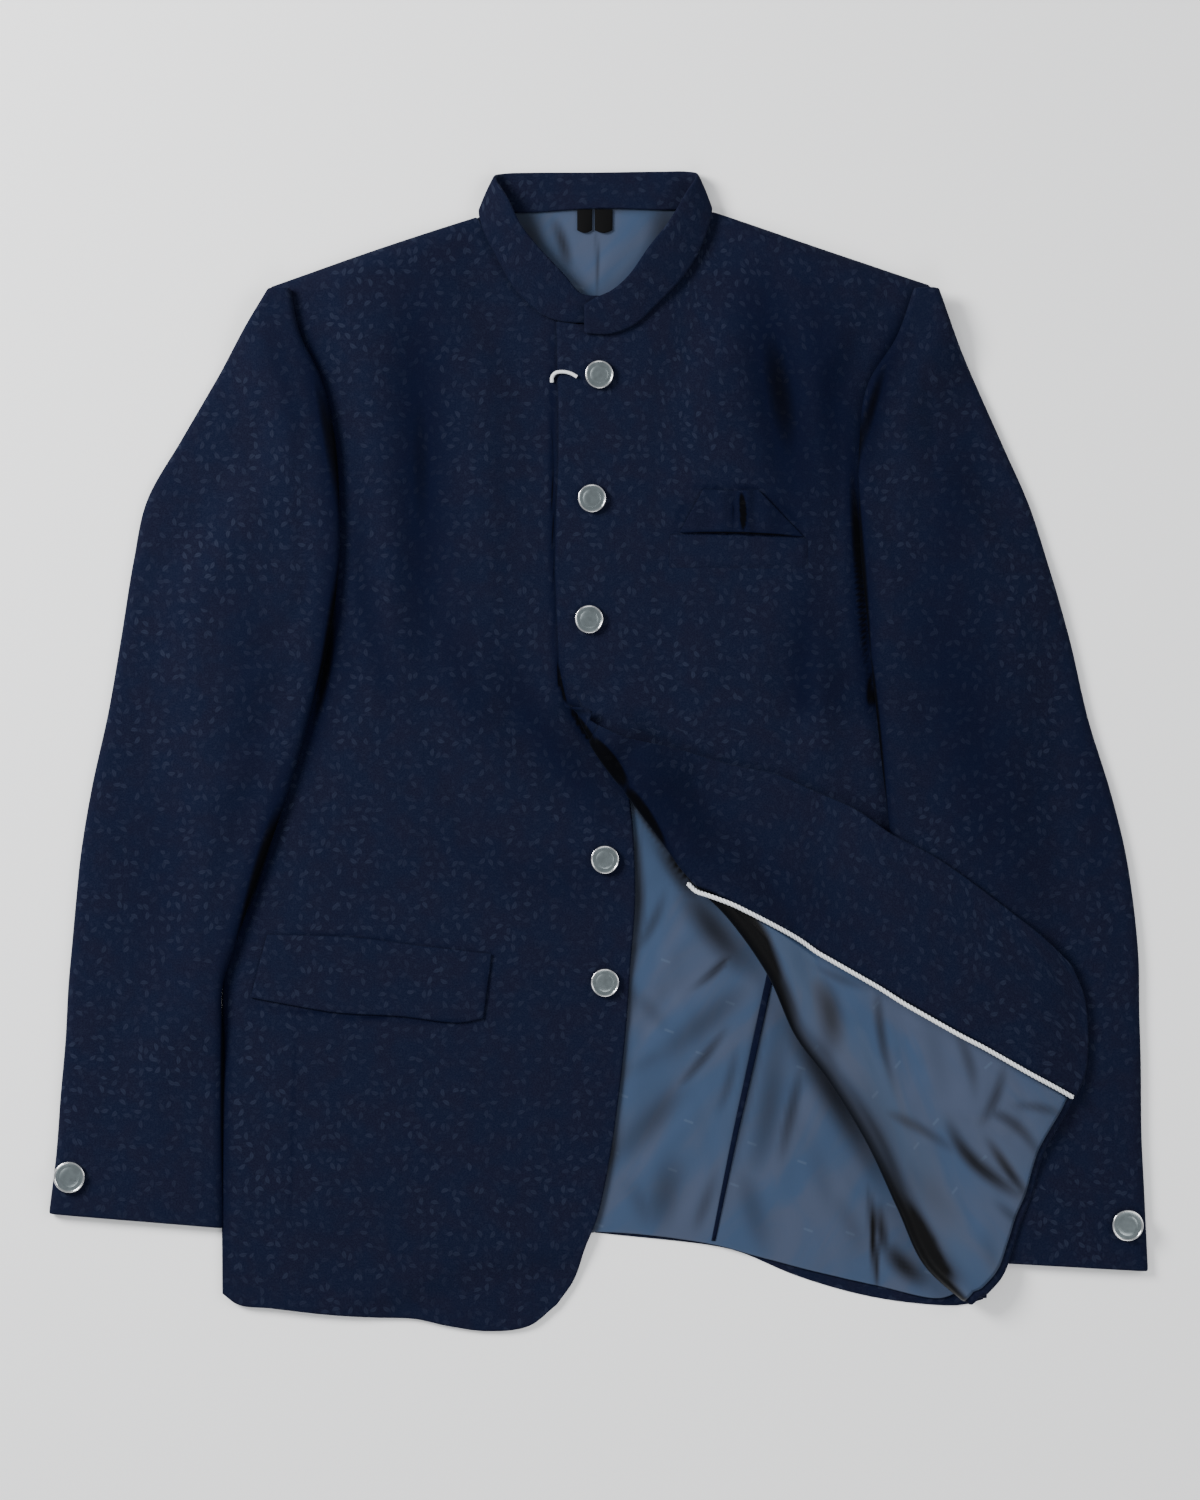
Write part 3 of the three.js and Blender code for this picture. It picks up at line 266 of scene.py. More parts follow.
# Sleeves laid flat, a row for each height: the fold beside the body and the outer fold
SLEEVE_COLUMNS = ("y", "inner", "outer")
RIGHT_SLEEVE = table(SLEEVE_COLUMNS,
    (321.5, -214, -229), (290, -207, -248), (260, -193, -265), (217, -183, -290), (175, -180, -314),
    (133, -180, -323.5), (77.5, -187, -332.5), (28, -199.5, -341), (-27, -215, -353),
    (-72.5, -230.5, -360.5), (-107.5, -243, -364), (-135, -252.5, -366.5), (-163, -261, -369),
    (-201.5, -261, -371), (-243.5, -261, -374.5), (-285, -261.2, -377.5), (-327, -261.4, -382.5))
LEFT_SLEEVE = table(SLEEVE_COLUMNS,
    (321.5, 219, 236), (287, 206.5, 248.5), (255, 187, 262.5), (210, 181, 282.5), (171.5, 181, 299.5),
    (133, 182.5, 312), (77.5, 188, 328), (21.5, 193.5, 341), (-27, 199, 356), (-69, 205.5, 366.5),
    (-107.5, 222, 372.5), (-145.5, 244, 376), (-180.5, 264, 376.5), (-215.5, 274.5, 377.5),
    (-264, 275, 378), (-306, 275, 380), (-359, 275, 382.5))
CUFF_SLANTS = {RIGHT: -10.0, LEFT: 6.0}
SLEEVE_ON_BODY = {RIGHT: (-245, -168), LEFT: (-290, -222)}

# Largest folds, as in the solids: straight soft ridges, or troughs where the height is negative
FOLD = ("x0", "y0", "x1", "y1", "spread", "height")
RIGHT_FOLDS = table(FOLD,
    (-128, 315, -118, 75, 17, -3), (-164, 200, -130, 45, 14, 2), (-88, 290, -84, 95, 20, 1.6),
    (-72, 64, -10, -40, 15, -1.8), (-104, 60, -62, -30, 16, 1.8), (-150, -10, -122, -75, 15, 1.4))
LEFT_FOLDS = table(FOLD,
    (112, 325, 140, 165, 17, -3), (70, 310, 86, 196, 20, 1.4), (160, 310, 166, 200, 14, 1.6),
    (137, 90, 133, 0, 14, -2), (158, 60, 152, -10, 12, 1.6))
SLEEVE_FOLDS = table(FOLD,
    (-250, 270, -262, 60, 22, 1.4), (-212, 80, -262, -120, 15, -1.6), (-318, 60, -330, -120, 18, -1.2),
    (-300, -150, -310, -300, 22, 1.2), (243, 250, 262, 60, 20, 1.4), (330, 0, 348, -90, 16, -1.2),
    (225, 60, 232, -60, 15, -1.4))

# Creases: bent soft lines through three points
CREASE = ("x0", "y0", "x1", "y1", "x2", "y2", "spread", "height")
RIGHT_CREASES = table(CREASE,
    (-205, 236, -186, 150, -182, 60, 7, -1.1), (-196, 190, -172, 130, -160, 60, 6, 0.7),
    (-170, 300, -158, 230, -150, 150, 9, 0.7), (-100, 240, -92, 150, -70, 70, 7, -0.5),
    (-160, 110, -148, 50, -128, -10, 5, -0.8), (-150, 60, -128, 0, -108, -50, 5, 0.8),
    (-130, 40, -104, -20, -92, -70, 5, -0.7), (-64, 30, -36, -20, -6, -62, 6, -0.9),
    (-40, 20, -20, -12, 6, -44, 5, 0.6), (-230, -40, -190, -70, -140, -84, 8, 0.6),
    (-226, -90, -170, -100, -110, -96, 7, -0.5), (-60, -110, -40, -200, -44, -290, 14, 0.7),
    (-120, -220, -110, -290, -124, -350, 13, -0.6), (-200, -230, -190, -300, -196, -360, 12, 0.5),
    (-240, 10, -214, 40, -186, 60, 6, -0.8), (-236, -10, -208, 14, -170, 30, 5, 0.6),
    (-30, 270, -44, 210, -40, 140, 8, -0.5), (-56, 180, -52, 120, -60, 70, 9, 0.5))
LEFT_CREASES = table(CREASE,
    (100, 300, 116, 250, 124, 190, 6, -0.7), (136, 330, 150, 270, 154, 210, 7, 0.7),
    (176, 230, 166, 150, 164, 70, 7, -0.8), (148, 120, 142, 60, 146, 10, 5, -0.9),
    (120, 110, 112, 60, 118, 24, 6, 0.6), (60, 110, 74, 60, 66, 24, 8, 0.6),
    (20, 90, 34, 50, 26, 20, 7, -0.5), (40, 250, 52, 210, 48, 170, 9, 0.5),
    (176, 60, 170, 20, 176, -10, 5, -0.7), (90, 60, 98, 36, 130, 12, 5, -0.6),
    (50, 44, 80, 22, 120, 4, 5, -0.5))
SLEEVE_CREASES = table(CREASE,
    (-222, 270, -238, 210, -236, 150, 6, -0.9), (-208, 250, -216, 190, -206, 130, 6, 0.8),
    (-200, 200, -206, 140, -196, 80, 5, -0.8), (-196, 140, -214, 90, -250, 60, 6, -0.8),
    (-206, 90, -236, 50, -280, 36, 6, 0.7), (-214, 40, -248, 6, -290, -10, 7, -0.7),
    (-226, 10, -262, -30, -300, -44, 8, 0.7), (-330, 30, -310, -20, -316, -90, 10, -0.6),
    (-270, -60, -276, -130, -268, -200, 10, 0.6), (-340, -120, -330, -190, -344, -270, 11, -0.6),
    (-286, -210, -296, -250, -286, -300, 9, -0.5), (-258, 120, -270, 60, -268, 0, 9, -0.5),
    (222, 280, 232, 220, 226, 160, 6, -0.9), (204, 240, 214, 190, 210, 130, 5, 0.8),
    (196, 190, 212, 130, 240, 100, 6, -0.8), (200, 130, 232, 80, 270, 66, 7, 0.7),
    (204, 60, 234, 20, 280, 6, 7, -0.8), (210, 10, 246, -30, 290, -40, 8, 0.7),
    (300, 120, 306, 60, 320, 10, 10, -0.6), (330, -40, 340, -100, 350, -150, 10, 0.6),
    (340, -240, 330, -280, 340, -330, 10, -0.6), (290, -300, 300, -320, 296, -350, 8, 0.5),
    (236, 300, 250, 260, 252, 200, 7, 0.7), (262, 200, 280, 140, 296, 90, 11, -0.6))
BACK_LINING_CREASES = table(CREASE,
    (14, -250, 50, -196, 96, -160, 8, 1.5), (8, -290, 44, -240, 84, -196, 7, -1.1),
    (30, -300, 58, -262, 92, -230, 8, 1.2), (26, -150, 34, -110, 52, -84, 7, -1.2),
    (36, -176, 52, -140, 78, -118, 6, 1.0), (24, -210, 44, -176, 74, -150, 5, -1.0),
    (52, -336, 62, -300, 86, -262, 6, -1.0), (14, -330, 30, -300, 40, -280, 9, 0.8),
    (132, -250, 126, -290, 112, -340, 9, 1.1), (146, -236, 158, -280, 186, -330, 8, 1.2),
    (128, -220, 140, -250, 152, -300, 6, -1.1), (172, -330, 182, -350, 206, -372, 6, -0.9),
    (118, -300, 128, -330, 126, -356, 7, -0.8), (150, -330, 154, -346, 150, -360, 6, 0.7),
    (-20, 366, -12, 340, -4, 318, 5, -0.6), (-44, 362, -28, 340, -14, 322, 6, 0.9),
    (40, 362, 24, 342, 8, 322, 6, 0.9), (30, 366, 22, 346, 6, 330, 4, -0.7),
    (12, 352, 6, 340, 0, 326, 4, 0.5))
TURNED_CREASES = table(CREASE,
    (205, -172, 213, -205, 211, -250, 5, -1.3), (222, -180, 232, -215, 228, -262, 8, 0.9),
    (150, -190, 158, -216, 172, -248, 6, -0.9), (170, -150, 178, -180, 182, -206, 7, 0.8),
    (216, -262, 250, -268, 288, -296, 4, -1.0), (232, -248, 262, -252, 300, -262, 5, 0.8),
    (262, -220, 274, -240, 268, -276, 4, -1.1), (276, -214, 286, -236, 298, -246, 4, 1.0),
    (288, -226, 296, -250, 286, -272, 3.5, -1.1), (272, -262, 292, -266, 312, -254, 4, -0.9),
    (280, -290, 290, -302, 300, -314, 4, 1.0), (270, -284, 282, -300, 296, -322, 3.5, -1.1),
    (296, -222, 312, -228, 326, -238, 4, -0.8), (240, -300, 256, -326, 272, -356, 8, -0.9),
    (228, -300, 236, -330, 252, -366, 6, 0.8), (192, -226, 204, -258, 224, -300, 7, 0.8),
    (262, -196, 282, -204, 306, -216, 6, 0.7))
FACING_CREASES = table(CREASE,
    (60, -10, 74, -30, 92, -60, 9, -0.6), (110, -30, 128, -60, 150, -96, 12, 0.6),
    (170, -50, 186, -84, 214, -118, 12, -0.6), (236, -90, 252, -120, 276, -150, 11, 0.6),
    (290, -130, 300, -160, 316, -190, 10, -0.5), (196, -60, 236, -92, 300, -146, 10, 0.5))

# Painted shade along deep folds, beside the sleeves and under edges, with a few dark seam lines
DARK = ("x0", "y0", "x1", "y1", "x2", "y2", "spread", "depth")
FOLD_SHADE_AND_SEAMS = table(DARK,
    (-124, 335, -124, 200, -119, 50, 21, 0.85), (-112, 130, -98, 60, -72, 0, 15, 0.42),
    (-76, 76, -38, 10, 16, -62, 14, 0.62), (-170, 195, -162, 100, -138, 24, 12, 0.5),
    (-214, 306, -188, 220, -183, 120, 9, 0.95), (-183, 180, -189, 60, -214, -26, 9, 1.0),
    (-208, 14, -236, -80, -260, -158, 8, 1.0), (-259, -120, -261, -230, -262, -380, 5, 0.95),
    (-176, 110, -182, 60, -200, 10, 18, 0.4), (104, 345, 126, 250, 140, 140, 24, 0.93),
    (140, 340, 160, 250, 174, 150, 22, 0.72), (146, 126, 142, 50, 143, -34, 11, 0.75),
    (150, 116, 162, 40, 184, -36, 22, 0.45), (170, 260, 182, 120, 189, 0, 8, 1.1),
    (187, 90, 192, 10, 203, -80, 7, 1.25), (214, 306, 190, 240, 178, 170, 9, 0.95),
    (64, 176, 57, 166, 52, 150, 4, 0.5), (-230, 306, -216, 250, -206, 195, 9, 0.4),
    (-250, 126, -240, 20, -262, -100, 18, 0.35), (-300, -10, -308, -90, -304, -180, 26, 0.25),
    (232, 160, 256, 20, 300, -110, 32, 0.6), (330, 70, 344, -20, 352, -110, 12, 0.3),
    (-110, -62, -20, -90, 16, -56, 18, 0.25), (250, 236, 244, 160, 236, 84, 18, 0.45),
    (98.5, 184, 100.5, 166, 100, 149, 3, 1.2), (92, 180, 93.5, 166, 93, 154, 1.8, 0.7),
    (110, 184, 130, 168, 144, 148, 5, 0.8), (60, 184, 92, 183, 122, 183, 1.8, 0.9),
    (46, 151.5, 98, 151, 156, 148.5, 1.6, 1.0), (-250, -175, -170, -184.5, -72, -189, 1.8, 0.9),
    (-238, -127, -165, -129.5, -66, -142, 1.4, 0.6), (-80, -138, -78, -160, -80, -190, 1.4, 0.5),
    (-211, -186, -212, -260, -217, -330, 1.5, 0.55), (-32, 305, -32, 170, -30, 30, 2.6, 1.0))
# Painted shadow beside the roll where the left front starts to turn back
FOLD_START_SHADOW = table(DARK,
    (-29, 76, -26.5, 46, -17.5, 24, 3, 1.2), (-25, 41, -10.1, 15.3, 8, -6, 5, 1.3),
    (-12, 18, 8, -6, 29, -37, 6.2, 1.3), (12, -12, 34, -44, 58, -81, 5.2, 1.3),
    (44, -62, 56, -80, 70, -98, 3, 1.1))

# Painted shade in the lining's folds: the back's lining, with one dark seam line too, and that of the
# turned-back front
BACK_LINING_SHADE_AND_SEAM = table(DARK,
    (48, -92, 38, -120, 24, -142, 5, 0.5), (99, -130, 84, -150, 62, -168, 4, 0.7),
    (60, -92, 80, -124, 114, -160, 12, 0.75), (106, -160, 75, -188, 30, -224, 11, 0.45),
    (92, -188, 73, -214, 50, -240, 4.5, 0.6), (62, -226, 38, -256, 4, -294, 12, 0.5),
    (56, -276, 46, -308, 40, -338, 13, 0.5), (84, -286, 74, -316, 66, -338, 6, 0.45),
    (97, -200, 91, -230, 82, -256, 5, 0.45), (144, -212, 134, -252, 126, -290, 5.5, 0.6),
    (124, -176, 119, -250, 104, -300, 11, 0.5), (126, -174, 163, -236, 206, -312, 12, 0.8),
    (188, -300, 191.6, -342, 194.4, -378, 2.6, 1.1), (195, -312, 197, -334, 202, -356, 5, 0.8),
    (200, -340, 212, -358, 232, -372, 8, 0.85), (99, -286, 108, -320, 116, -356, 12, 0.4),
    (14, -294, 30, -316, 36, -340, 10, 0.35), (148, -250, 154, -290, 166, -330, 12, 0.3),
    (118, -162, 108, -214, 84, -330, 6, 0.55), (26, -55, 30, -100, 27, -150, 4, 0.45),
    (36, -52, 56, -86, 78, -112, 7, 0.75), (18, -230, 34, -216, 56, -206, 8, 0.3),
    (20, -166, 36, -180, 50, -200, 8, 0.35), (160, -300, 176, -330, 186, -360, 9, 0.35),
    (-32, 372, -25, 354, -20, 334, 5, 0.7), (-1.5, 366, -1, 344, -0.5, 310, 1.8, 0.6),
    (-46, 378, -44, 350, -26, 326, 9, 0.35), (44, 378, 42, 350, 24, 326, 9, 0.35),
    (-36, 382, 0, 380, 38, 382, 6, 0.7))
TURNED_LINING_SHADE = table(DARK,
    (195, -164, 196, -194, 206, -244, 4.5, 0.6), (142, -146, 168, -158, 194, -168, 5, 0.4),
    (192, -250, 218, -260, 258, -284, 5, 0.55), (244, -188, 257, -214, 262, -246, 5.5, 0.5),
    (281, -214, 275, -240, 262, -262, 5, 0.6), (262, -250, 288, -258, 312, -290, 5, 0.6),
    (242, -252, 262, -286, 304, -314, 6, 0.85), (268, -266, 284, -290, 302, -316, 4.5, 0.8),
    (282, -246, 306, -247, 326, -256, 4.5, 0.5), (272, -310, 286, -322, 298, -332, 5, 0.45),
    (148, -156, 160, -182, 160, -214, 10, 0.7), (207, -310, 226, -350, 256, -374, 13, 0.8),
    (190, -250, 222, -300, 252, -330, 12, 0.3), (256, -200, 284, -212, 316, -236, 6, 0.35),
    (222, -172, 234, -206, 238, -250, 12, 0.25), (176, -216, 196, -262, 226, -318, 13, 0.35),
    (262, -330, 272, -350, 274, -366, 8, 0.3))
# Painted shade on the facing, broadest near the start of the roll
FACING_SHADE = table(DARK,
    (-8, 14, 40, -34, 96, -96, 34, 0.6), (60, -20, 110, -80, 190, -140, 22, 0.3))

# Front buttons, top to bottom, and the cuffs' buttons
FRONT_BUTTONS = table(("x", "y", "left"),
    (0.5, 261.5, 1), (-4.5, 175.5, 1), (-6.5, 91.5, 1), (5, 7, 0), (4.5, -75.5, 0), (4.5, -161, 0))
HIDDEN_BUTTON = (5.0, 7.0)
HIDDEN_BUTTON_LIFT = 7.0
HIDDEN_BUTTON_SPREAD = 27.0
CUFF_BUTTONS = table(XY, (-367.5, -296), (367.5, -329.5))

# Pockets
FLAP_BOTTOM = table(XY,
    (-242, -171.5), (-215, -176.5), (-181.5, -182), (-138.5, -184.5), (-97, -189), (-80, -186))
FLAP_TOP = table(XY, (-230.5, -127.5), (-169.5, -129.5), (-127, -135), (-74, -141))
WELT_BOTTOM = table(XY, (49, 127), (98, 126), (147, 124.5))
WELT_TOP = table(XY, (50, 150.5), (98, 150), (147.5, 147.5))
TONGUE_BOTTOM = table(XY, (56, 151.6), (98, 151), (143, 148.8))
TONGUE_TOP = table(XY, (73, 182), (92, 181), (111, 181.5))
PLEAT = ("x", "spread", "height")
TONGUE_PLEATS = table(PLEAT, (68, 8, 0.8), (86, 6, 1.4), (103, 4, 2.2), (117, 7, 1.4))

# Label in two leaves
LABEL_ENDS = ("x0", "x1")
LABEL_HALVES = table(LABEL_ENDS, (-14.8, -4.4), (-2.6, 9.8))
LABEL_TOP, LABEL_BOTTOM, LABEL_SAG = 377.0, 362.5, 2.0
LABEL_WALL, LABEL_RISE, LABEL_CROWN, LABEL_FLATTER = 0.7, 0.5, 0.9, 0.6

# Stand collar, walked from its under end at the centre front round the back to its upper end
COLLAR_SEAM, COLLAR_EDGE = ("seam_x", "seam_y", "seam_z"), ("edge_x", "edge_y", "edge_z")
COLLAR_BOW, COLLAR_MEASURED = 0.5, 6
COLLAR = table(COLLAR_SEAM + COLLAR_EDGE,
    (3, 299, 8, 4, 316, 10.4), (-13, 297.5, 8, -12, 318, 11.5), (-35, 301, 8.3, -23.5, 330.5, 14),
    (-57, 319.5, 9.2, -41, 349, 17), (-72, 345.5, 10.6, -53.5, 364.5, 18.6),
    (-80.5, 363, 11.6, -62.5, 383, 18), (-82.5, 375, 9, -71.5, 399, 11),
    (-75, 377.5, 5.2, -66, 402, 3.2), (-57, 374.5, 4.5, -48, 402.8, 2.2),
    (-1, 377.5, 4.5, -1, 403, 2.2), (53, 376.5, 4.5, 44, 403.6, 2.2),
    (70.5, 378.5, 5.2, 61.5, 403.5, 3.2), (78, 376.5, 9, 68, 400.5, 11),
    (76.5, 364, 11.6, 60, 386, 18), (68.5, 344, 11, 49, 367.5, 18.6), (57, 327, 10.8, 34.5, 349, 17.4),
    (41, 310.5, 11, 21, 330, 16.2), (26, 296.5, 11.1, 9, 319.5, 16), (8, 289.5, 11.2, -3, 314, 15.6),
    (-10, 290, 11.3, -10, 309.5, 15.4))

# Turned buttons: half the outline, as shares of the radius and the height
BUTTON_POINT = ("out", "up")
BUTTON_OUTLINE = table(BUTTON_POINT,
    (0, 0), (0.28, 0), (0.3, 0.08), (0.3, 0.28), (0.86, 0.34), (0.95, 0.42), (1.0, 0.56), (1.0, 0.74),
    (0.985, 0.88), (0.96, 0.97), (0.93, 1.0), (0.9, 0.985), (0.885, 0.95), (0.87, 0.92), (0.85, 0.905),
    (0.64, 0.9), (0.62, 0.905), (0.6, 0.925), (0.4, 0.935), (0.2, 0.94), (0, 0.94))
RIM_FROM, FACE_FROM = 0.86, 0.6

# Cord loop beside the top button, as heights above the right front's cloth or the left one's
LOOP_POINT = ("x", "y", "on_left", "up")
LOOP = table(LOOP_POINT,
    (-32.4, 256.5, 0, 0), (-32.2, 260, 0, 0.9), (-29.5, 262.8, 1, 0.3),
    (-24, 263.4, 1, 0.3), (-19, 262.2, 1, 0.1), (-15, 260, 1, 0.1))

# The roll's dark inside, and the valley beside it, by the share of the fold line
ROLL_SHADE = table(("share", "start", "end", "depth"),
    (0, 1, 6, 0), (0.05, 1, 6, 0), (0.1, 1, 8, 0.6), (0.2, 1, 6, 0.7),
    (0.27, 2, 8, 0.9), (0.3, 3, 9, 0.95), (0.34, 11, 21, 1), (0.4, 17, 27, 1), (0.45, 13, 25, 1),
    (0.49, 4, 20, 0.98), (0.56, 2, 20, 0.93), (0.66, 1, 21, 0.88), (0.76, 2, 21, 0.88),
    (0.84, 5, 20, 0.95), (0.9, 10, 22, 1), (0.95, 9, 20, 1), (1, 2, 10, 0.9))

# The tables of each hand
SIDES = {RIGHT: RIGHT_SIDE, LEFT: LEFT_SIDE}
SLEEVES = {RIGHT: RIGHT_SLEEVE, LEFT: LEFT_SLEEVE}
SHOULDERS = {RIGHT: RIGHT_SHOULDER, LEFT: LEFT_SHOULDER}
FOLDS = {RIGHT: RIGHT_FOLDS, LEFT: LEFT_FOLDS}
CREASES = {RIGHT: RIGHT_CREASES, LEFT: LEFT_CREASES}

# Rows of the turned-back front as shares of the fold line, and its columns
TURNED_SHARES = np.concatenate([
    np.linspace(0, CURL_SHARE, 13), np.linspace(CURL_SHARE, 0.3, 40)[1:], np.linspace(0.3, 0.985, 112)[1:],
    [0.989, 0.994, 0.9975, 1.0]])
CHEST_ROWS, CHEST_LAST_ROWS = 84, (0.991, 0.995, 0.998, 1.0)
LOWER_COLUMNS, ROLL_COLUMNS, LINING_COLUMNS, FACING_COLUMNS = 64, 16, 58, 44
SLIT_COLUMN = LOWER_COLUMNS + ROLL_COLUMNS + LINING_COLUMNS
FRONT_COLUMNS = SLIT_COLUMN + 1 + FACING_COLUMNS
SHOWN_COLUMN = LOWER_COLUMNS - 3
FACING_START = 0.065
LINING_START = 0.3
LINING_END = 0.989
PIPING_START = 0.31
PIPING_END = 0.998
EDGE_CROWD = 1.35
SPLIT_ROOM, SPLIT_MOST = 1.5, 0.98
CHEST_SIDE_FROM, NECK_SHARE = 5, 12 / 26
GATHER_END, CHEST_FINE_FROM = 0.35, 0.06
BEFORE_ROLL = -500.0
RIGHT_SHOULDER_SHARE = 9 / 16
# Curves, tables read smoothly, and soft relief

def smoothstep(value, low, high):
    """0 at low, 1 at high, with a level start and end."""
    t = np.clip((np.asarray(value, float) - low) / (high - low), 0, 1)
    return t * t * (3 - 2 * t)


def mix(first, second, share):
    """From first to second by a share."""
    return first + (second - first) * share


def stack(rows, columns=XY):
    """A table's named columns side by side."""
    return np.stack([rows[name] for name in columns], axis=-1)


def catmull(points, per=CURVE_STEPS):
    """A smooth centripetal line through points, finely sampled."""
    points = np.asarray(points, float)
    held = np.vstack([2 * points[0] - points[1], points, 2 * points[-1] - points[-2]])
    t = np.linspace(0, 1, per, endpoint=False)[:, None]
    parts = []
    for k in range(1, len(held) - 2):
        a, b, c, d = held[k - 1:k + 3]
        before, here, after = (max(math.sqrt(np.linalg.norm(v)), 1e-6) for v in (b - a, c - b, d - c))
        leave = ((b - a) / before - (c - a) / (before + here) + (c - b) / here) * here
        reach = ((c - b) / here - (d - b) / (here + after) + (d - c) / after) * here
        parts.append(b + leave * t + (3 * (c - b) - 2 * leave - reach) * t ** 2
                     + (2 * (b - c) + leave + reach) * t ** 3)
    return np.vstack(parts + [points[-1:]])


def curve(points):
    """A smooth line through points, asked for by its share of the length."""
    line = catmull(points)
    run = np.concatenate([[0], np.cumsum(np.linalg.norm(np.diff(line, axis=0), axis=1))])
    run /= run[-1]

    def at(share):
        share = np.clip(share, 0, 1)
        return np.stack([np.interp(share, run, line[:, k]) for k in range(line.shape[1])], axis=-1)
    return at


def joined(first, second, part):
    """Two curves end to end, the first taking the given share."""
    def at(share):
        share = np.asarray(share, float)
        early = first(share / part)
        late = second((share - part) / (1 - part))
        return np.where((share <= part)[..., None], early, late)
    return at


def read(rows, given, value, want):
    """A table's column called want, smoothly, where its column called given has the value."""
    xs, ys = rows[given], rows[want]
    if xs[-1] < xs[0]:
        xs, ys = xs[::-1], ys[::-1]
    at = np.clip(value, xs[0], xs[-1])
    k = np.clip(np.searchsorted(xs, at) - 1, 0, len(xs) - 2)
    slope = np.diff(ys) / np.diff(xs)
    lean = np.concatenate([slope[:1], (slope[1:] + slope[:-1]) / 2, slope[-1:]])
    span = xs[k + 1] - xs[k]
    t = (at - xs[k]) / span
    return ((2 * t ** 3 - 3 * t ** 2 + 1) * ys[k] + (t ** 3 - 2 * t ** 2 + t) * span * lean[k]
            + (3 * t ** 2 - 2 * t ** 3) * ys[k + 1] + (t ** 3 - t ** 2) * span * lean[k + 1])


def nearest(x, y, x0, y0, x1, y1):
    """Distance to a straight line, and the share along it of the nearest point."""
    dx, dy = x1 - x0, y1 - y0
    share = np.clip(((x - x0) * dx + (y - y0) * dy) / (dx * dx + dy * dy), 0, 1)
    return np.hypot(x - x0 - share * dx, y - y0 - share * dy), share


def faded(share, fade):
    """A soft start and end along a line."""
    return np.sin(np.pi * (fade[0] + fade[1] * share))


def folds(rows, x, y):
    """Soft straight ridges and troughs at plan points."""
    total = np.zeros(np.shape(x))
    for x0, y0, x1, y1, spread, height in stack(rows, FOLD):
        away, share = nearest(x, y, x0, y0, x1, y1)
        total += height * np.exp(-((away / spread) ** 2)) * faded(share, FOLD_FADE)
    return total


def creases(rows, x, y, last="height", merge=np.add):
    """Soft bent lines at plan points, each fading out at its ends."""
    total = np.zeros(np.shape(x))
    t = np.linspace(0, 1, CREASE_PARTS + 1)
    for x0, y0, x1, y1, x2, y2, spread, height in stack(rows, CREASE[:-1] + (last,)):
        bend_x, bend_y = 2 * x1 - (x0 + x2) / 2, 2 * y1 - (y0 + y2) / 2
        px = (1 - t) ** 2 * x0 + 2 * t * (1 - t) * bend_x + t ** 2 * x2
        py = (1 - t) ** 2 * y0 + 2 * t * (1 - t) * bend_y + t ** 2 * y2
        best = np.full(np.shape(x), FAR)
        along = np.zeros(np.shape(x))
        for k in range(CREASE_PARTS):
            away, share = nearest(x, y, px[k], py[k], px[k + 1], py[k + 1])
            closer = away < best
            best = np.where(closer, away, best)
            along = np.where(closer, (k + share) / CREASE_PARTS, along)
        total = merge(total, height * np.exp(-((best / spread) ** 2)) * faded(along, CREASE_FADE))
    return total


def shade_along_lines(rows, x, y):
    """Depth of painted shade, and of any dark seam lines, along a table's lines, where the deepest counts."""
    return np.clip(creases(rows, x, y, last="depth", merge=np.maximum), 0, 1)


def ripple(x, y, size, height):
    """Slow uneven waves, so no panel is quite even."""
    total = np.zeros(np.shape(x))
    for k, (turn, share) in enumerate(WAVES):
        wave = size * (WAVE_SIZE + WAVE_GROWTH * k)
        phase = (x * math.cos(turn) + y * math.sin(turn)) / wave * 2 * math.pi + WAVE_OFFSET * k
        total += share * np.sin(phase + WAVE_BEND * np.sin(phase * WAVE_DRIFT + k))
    return total * height / WAVE_LEVEL


# Form of the jacket at plan points

def rounding(away, reach):
    """Height share of a rounded edge, from 0 on the edge to 1 where the round ends."""
    return np.sqrt(np.maximum(1 - (1 - np.clip(away / reach, 0, 1)) ** 2, 0))


def side_at(hand, y):
    """Side seam, below the armpit."""
    return read(rows_of(SIDES[hand], 0, ARMHOLES[hand] + 1), "y", y, "x")


def body_side(hand, y):
    """Side seam below the armpit, and the armhole above it."""
    side, armhole = SIDES[hand], ARMHOLES[hand]
    high = read(rows_of(side, armhole), "y", y, "x")
    return np.where(y > side["y"][armhole], high, side_at(hand, y))


def button_lift(x, y):
    """How far the left front rises over the button below it."""
    away = np.hypot(x - HIDDEN_BUTTON[0], y - HIDDEN_BUTTON[1])
    return HIDDEN_BUTTON_LIFT * np.exp(-((away / HIDDEN_BUTTON_SPREAD) ** 4))


